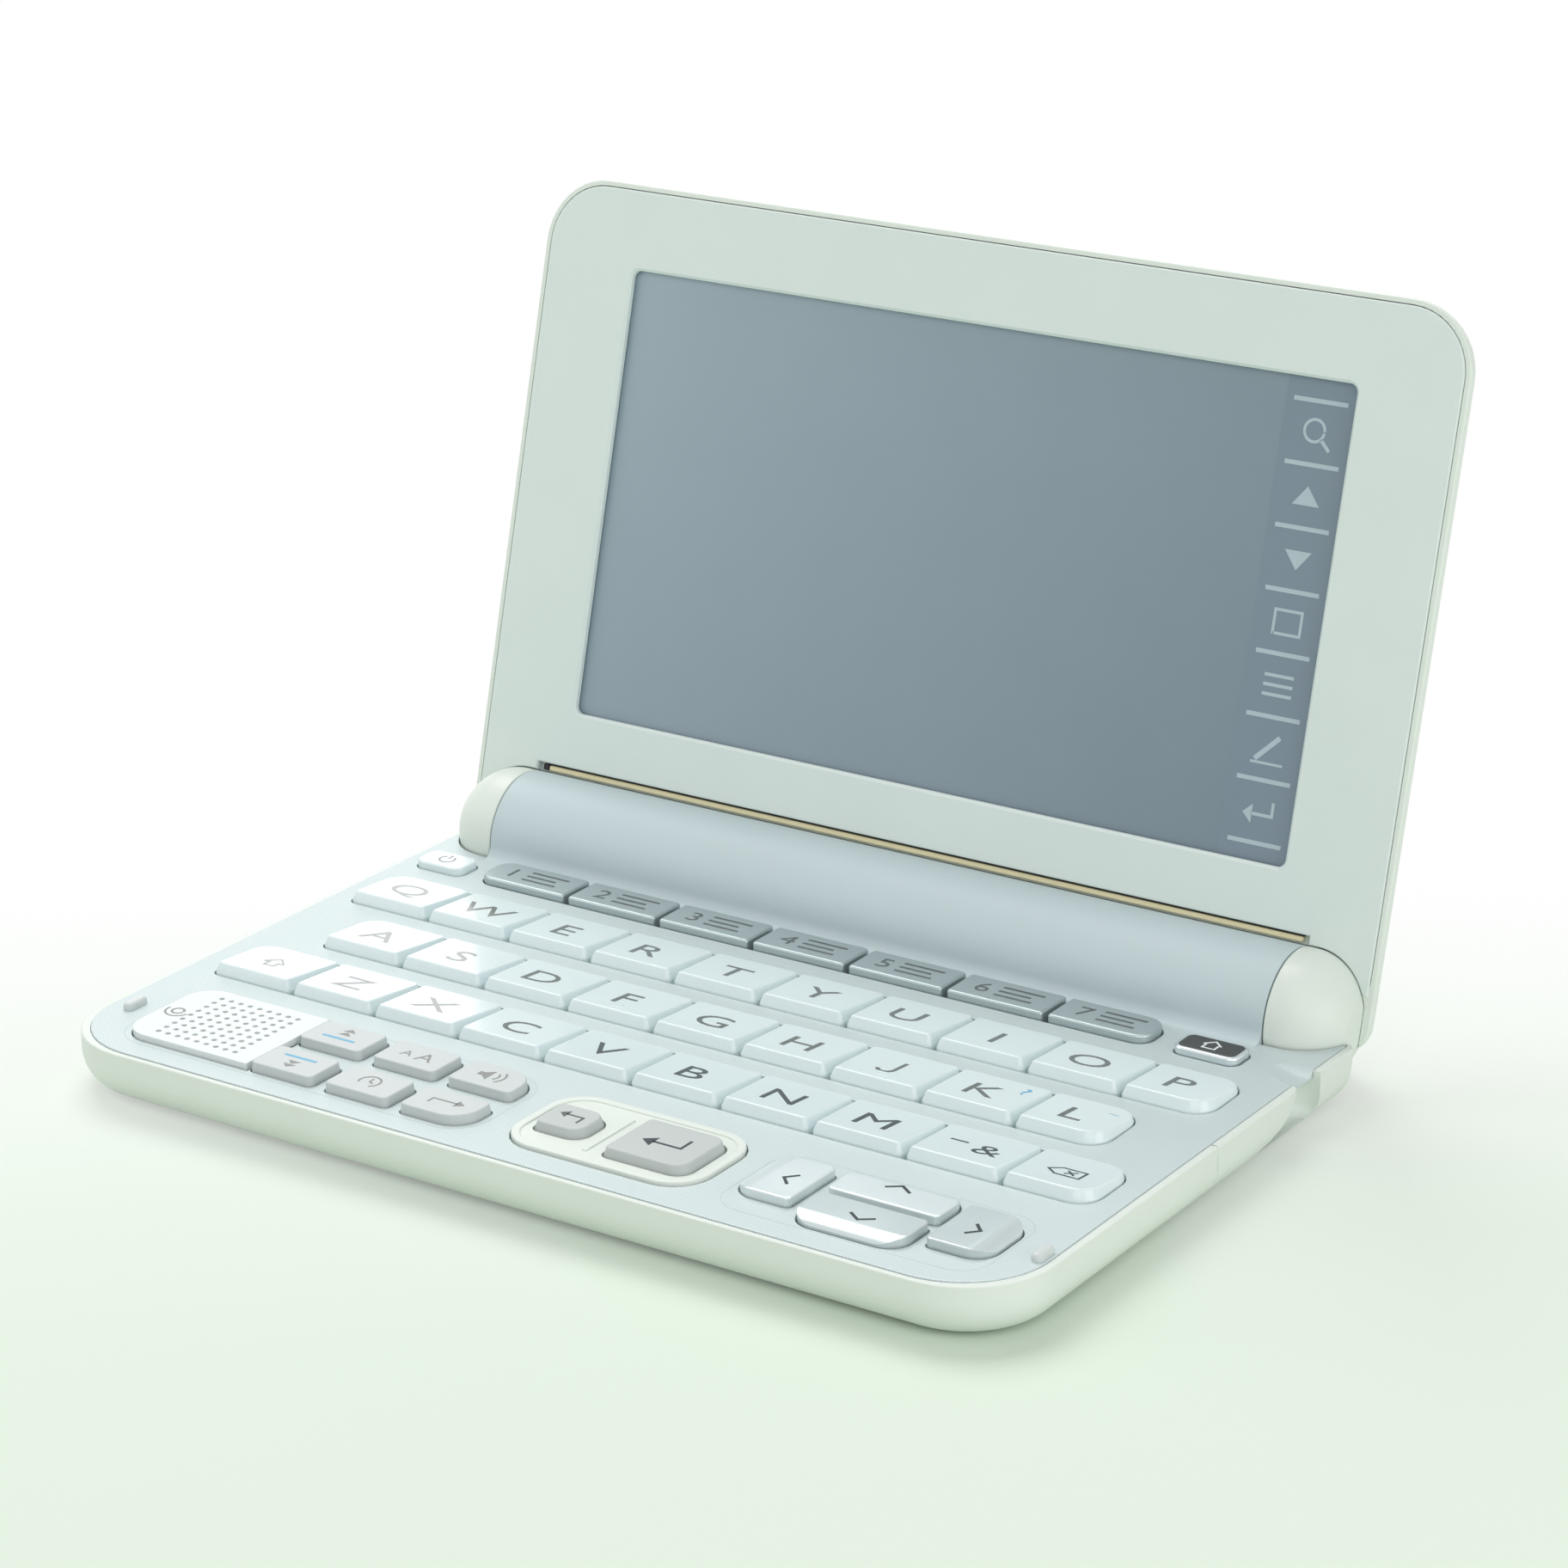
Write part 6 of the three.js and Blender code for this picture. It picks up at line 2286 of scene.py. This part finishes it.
@dataclass
class Insides(Assembly):
    """The parts inside, carried over from the frame with their own finishes, and the hinge pins."""

    friction_length: float = 8.5
    pin_radius: float = 1.6
    pin_end: float = 72.5
    chamfer: float = 0.3

    FINISHES = {
        "main_board": "board_green",
        "key_mat": "rubber",
        "battery_cells": "cell_wrap",
        "speaker_driver": "black_and_painted_shade",
        "display_module": "display_grey",
    }

    def _pin(self, side: str) -> bpy.types.Object:
        """One hinge pin with its friction barrel, its edges chamfered.

        Args:
            side: left or right.

        Returns:
            The pin.
        """
        node = f"hinge_pin_{side}"
        low, high = (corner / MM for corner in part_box(node))
        start, wide, cut = min(abs(low.x), abs(high.x)), (high.z - low.z) / 2, self.chamfer
        barrel_end = start + self.friction_length
        profile = [(start, wide - cut), (start + cut, wide)]
        profile += [(barrel_end - cut, wide), (barrel_end, wide - cut)]
        profile += [(barrel_end, self.pin_radius), (self.pin_end - cut, self.pin_radius)]
        profile.append((self.pin_end, self.pin_radius - cut))
        if side == "left":
            profile = [(-x, radius) for x, radius in profile]
        shell = Shell()
        shell.turned(profile, 32, HINGE_Y, HINGE_Z)
        return self.piece(f"{node}_turned", shell, Fit("lid", "steel", (node,)), "steel")

    def build(self) -> list[bpy.types.Object]:
        """Dresses the inner parts.

        Returns:
            Them and the pins.
        """
        dressed = []
        for node, finish in self.FINISHES.items():
            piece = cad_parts[node]
            piece.data.materials.clear()
            piece.data.materials.append(self.palette[finish])
            dressed.append(piece)
        return dressed + [self._pin(side) for side in ("left", "right")]


# Studio


@dataclass(frozen=True)
class Softbox:
    """A square area lamp: where it stands, what it points at, its size and its power."""

    name: str
    place: Point3
    aim: Point3
    size: float
    power: float

    def build(self) -> None:
        """Puts the lamp in the scene."""
        lamp = bpy.data.lights.new(self.name, "AREA")
        lamp.size, lamp.energy = self.size * MM, self.power
        holder = bpy.data.objects.new(self.name, lamp)
        bpy.context.scene.collection.objects.link(holder)
        place, aim = Vector(self.place) * MM, Vector(self.aim) * MM
        holder.location = place
        holder.rotation_mode = "QUATERNION"
        holder.rotation_quaternion = (aim - place).to_track_quat("-Z", "Y")


LAMPS = (
    Softbox("key_light", (-420.0, 380.0, 900.0), (0.0, 0.0, 20.0), 700.0, 6.85),
    Softbox("fill_light", (500.0, -800.0, 700.0), (0.0, 0.0, 30.0), 800.0, 2.95),
    Softbox("right_light", (600.0, -100.0, 150.0), (60.0, 0.0, 20.0), 400.0, 1.05),
    Softbox("left_light", (-500.0, -300.0, 300.0), (0.0, 40.0, 60.0), 400.0, 0.62),
    Softbox("rear_light", (-580.0, 725.0, 200.0), (-62.0, 15.0, 9.0), 500.0, 0.7),
)


@dataclass
class Studio:
    """Camera, floor, world and lamps."""

    azimuth: float = math.radians(33.382)
    elevation: float = math.radians(20.022)
    roll: float = math.radians(-0.140)
    distance: float = 606.4
    target: Point3 = (10.80, 0.0, 44.29)
    focal_pixels: float = 5467.0
    image_pixels: float = 1824.0
    sensor: float = 36.0
    floor_half: float = 6000.0
    floor_height: float = -0.4
    floor_colour: Colour = srgb(222, 234, 220)
    white_behind: Point2 = (-0.085, 0.09)
    white_around: Point2 = (0.35, 0.65)
    world_light: float = 0.43

    def _camera(self) -> None:
        """The camera at the photograph's place."""
        a, e, r = self.azimuth, self.elevation, self.roll
        back = Vector((math.sin(a) * math.cos(e), -math.cos(a) * math.cos(e), math.sin(e)))
        right = (-back).cross(Vector((0.0, 0.0, 1.0))).normalized()
        up = right.cross(-back)
        turned_right = right * math.cos(r) + up * math.sin(r)
        turned_up = up * math.cos(r) - right * math.sin(r)
        lens = bpy.data.cameras.new("camera")
        lens.sensor_width = self.sensor
        lens.lens = self.focal_pixels * self.sensor / self.image_pixels
        lens.clip_start, lens.clip_end = 0.01, 50.0
        camera = bpy.data.objects.new("camera", lens)
        bpy.context.scene.collection.objects.link(camera)
        place = (Vector(self.target) + back * self.distance) * MM
        turn = Matrix((turned_right, turned_up, back)).transposed().to_4x4()
        camera.matrix_world = Matrix.Translation(place) @ turn
        bpy.context.scene.camera = camera

    def _floor(self) -> None:
        """A wide pale floor that turns white away from the object."""
        material = bpy.data.materials.new("floor")
        material.use_nodes = True
        tree = material.node_tree
        tree.nodes.clear()
        place = put(tree, "TexCoord").outputs["Object"]
        back = (-math.sin(self.azimuth), math.cos(self.azimuth), 0.0)
        spread = put(tree, "VectorMath", operation="DOT_PRODUCT")
        feed(tree, spread, {0: place, 1: back})
        length = put(tree, "VectorMath", operation="LENGTH")
        feed(tree, length, {0: place})
        far = smooth(tree, spread.outputs["Value"], *self.white_behind)
        wide = smooth(tree, length.outputs["Value"], *self.white_around)
        white = maths(tree, "MULTIPLY", seen(tree), maths(tree, "MAXIMUM", far, wide))
        pale = put(tree, "BsdfDiffuse", {"Color": (*self.floor_colour, 1.0)})
        mix = put(tree, "MixShader", {"Fac": white, 1: pale.outputs[0], 2: put(tree, "Emission").outputs[0]})
        put(tree, "OutputMaterial", {"Surface": mix.outputs[0]})
        half, height = self.floor_half, self.floor_height
        mesh = bpy.data.meshes.new("floor")
        corners = [(x * MM, y * MM, height * MM) for x, y in oblong(-half, -half, half, half)]
        mesh.from_pydata(corners, [], [(0, 1, 2, 3)])
        mesh.materials.append(material)
        floor = bpy.data.objects.new("floor", mesh)
        bpy.context.scene.collection.objects.link(floor)

    def _world(self) -> None:
        """A white world: soft light, and white where the camera or a reflection sees it."""
        world = bpy.data.worlds.new("studio")
        world.use_nodes = True
        tree = world.node_tree
        strength = put(tree, "MapRange", {"Value": seen(tree), "To Min": self.world_light, "To Max": 1.0})
        light = {"Strength": strength.outputs["Result"], "Color": (1.0, 1.0, 1.0, 1.0)}
        feed(tree, tree.nodes["Background"], light)
        bpy.context.scene.world = world

    def build(self) -> None:
        """Builds the studio."""
        self._camera()
        self._floor()
        self._world()
        for lamp in LAMPS:
            lamp.build()
        bpy.context.scene.view_settings.view_transform = "Standard"


def main() -> None:
    """Builds every sub-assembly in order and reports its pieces."""
    logging.basicConfig(level=logging.INFO, format="%(name)s: %(message)s")
    Studio().build()
    palette = Palette()
    keys = KeyField()
    assemblies = (
        LowerCase(palette),
        BatteryCover(palette),
        Deck(palette, keys),
        LetterKeys(palette, keys),
        TopRow(palette, keys),
        PageKeys(palette, keys),
        EnterGroup(palette, keys),
        ArrowKeys(palette, keys),
        Grille(palette, keys),
        Pen(palette),
        LidShell(palette),
        Screen(palette),
        Insides(palette),
    )
    for assembly in assemblies:
        for piece in assembly.build():
            LOG.info("%s: %s", type(assembly).__name__, piece.name)


if __name__ == "__main__":
    main()
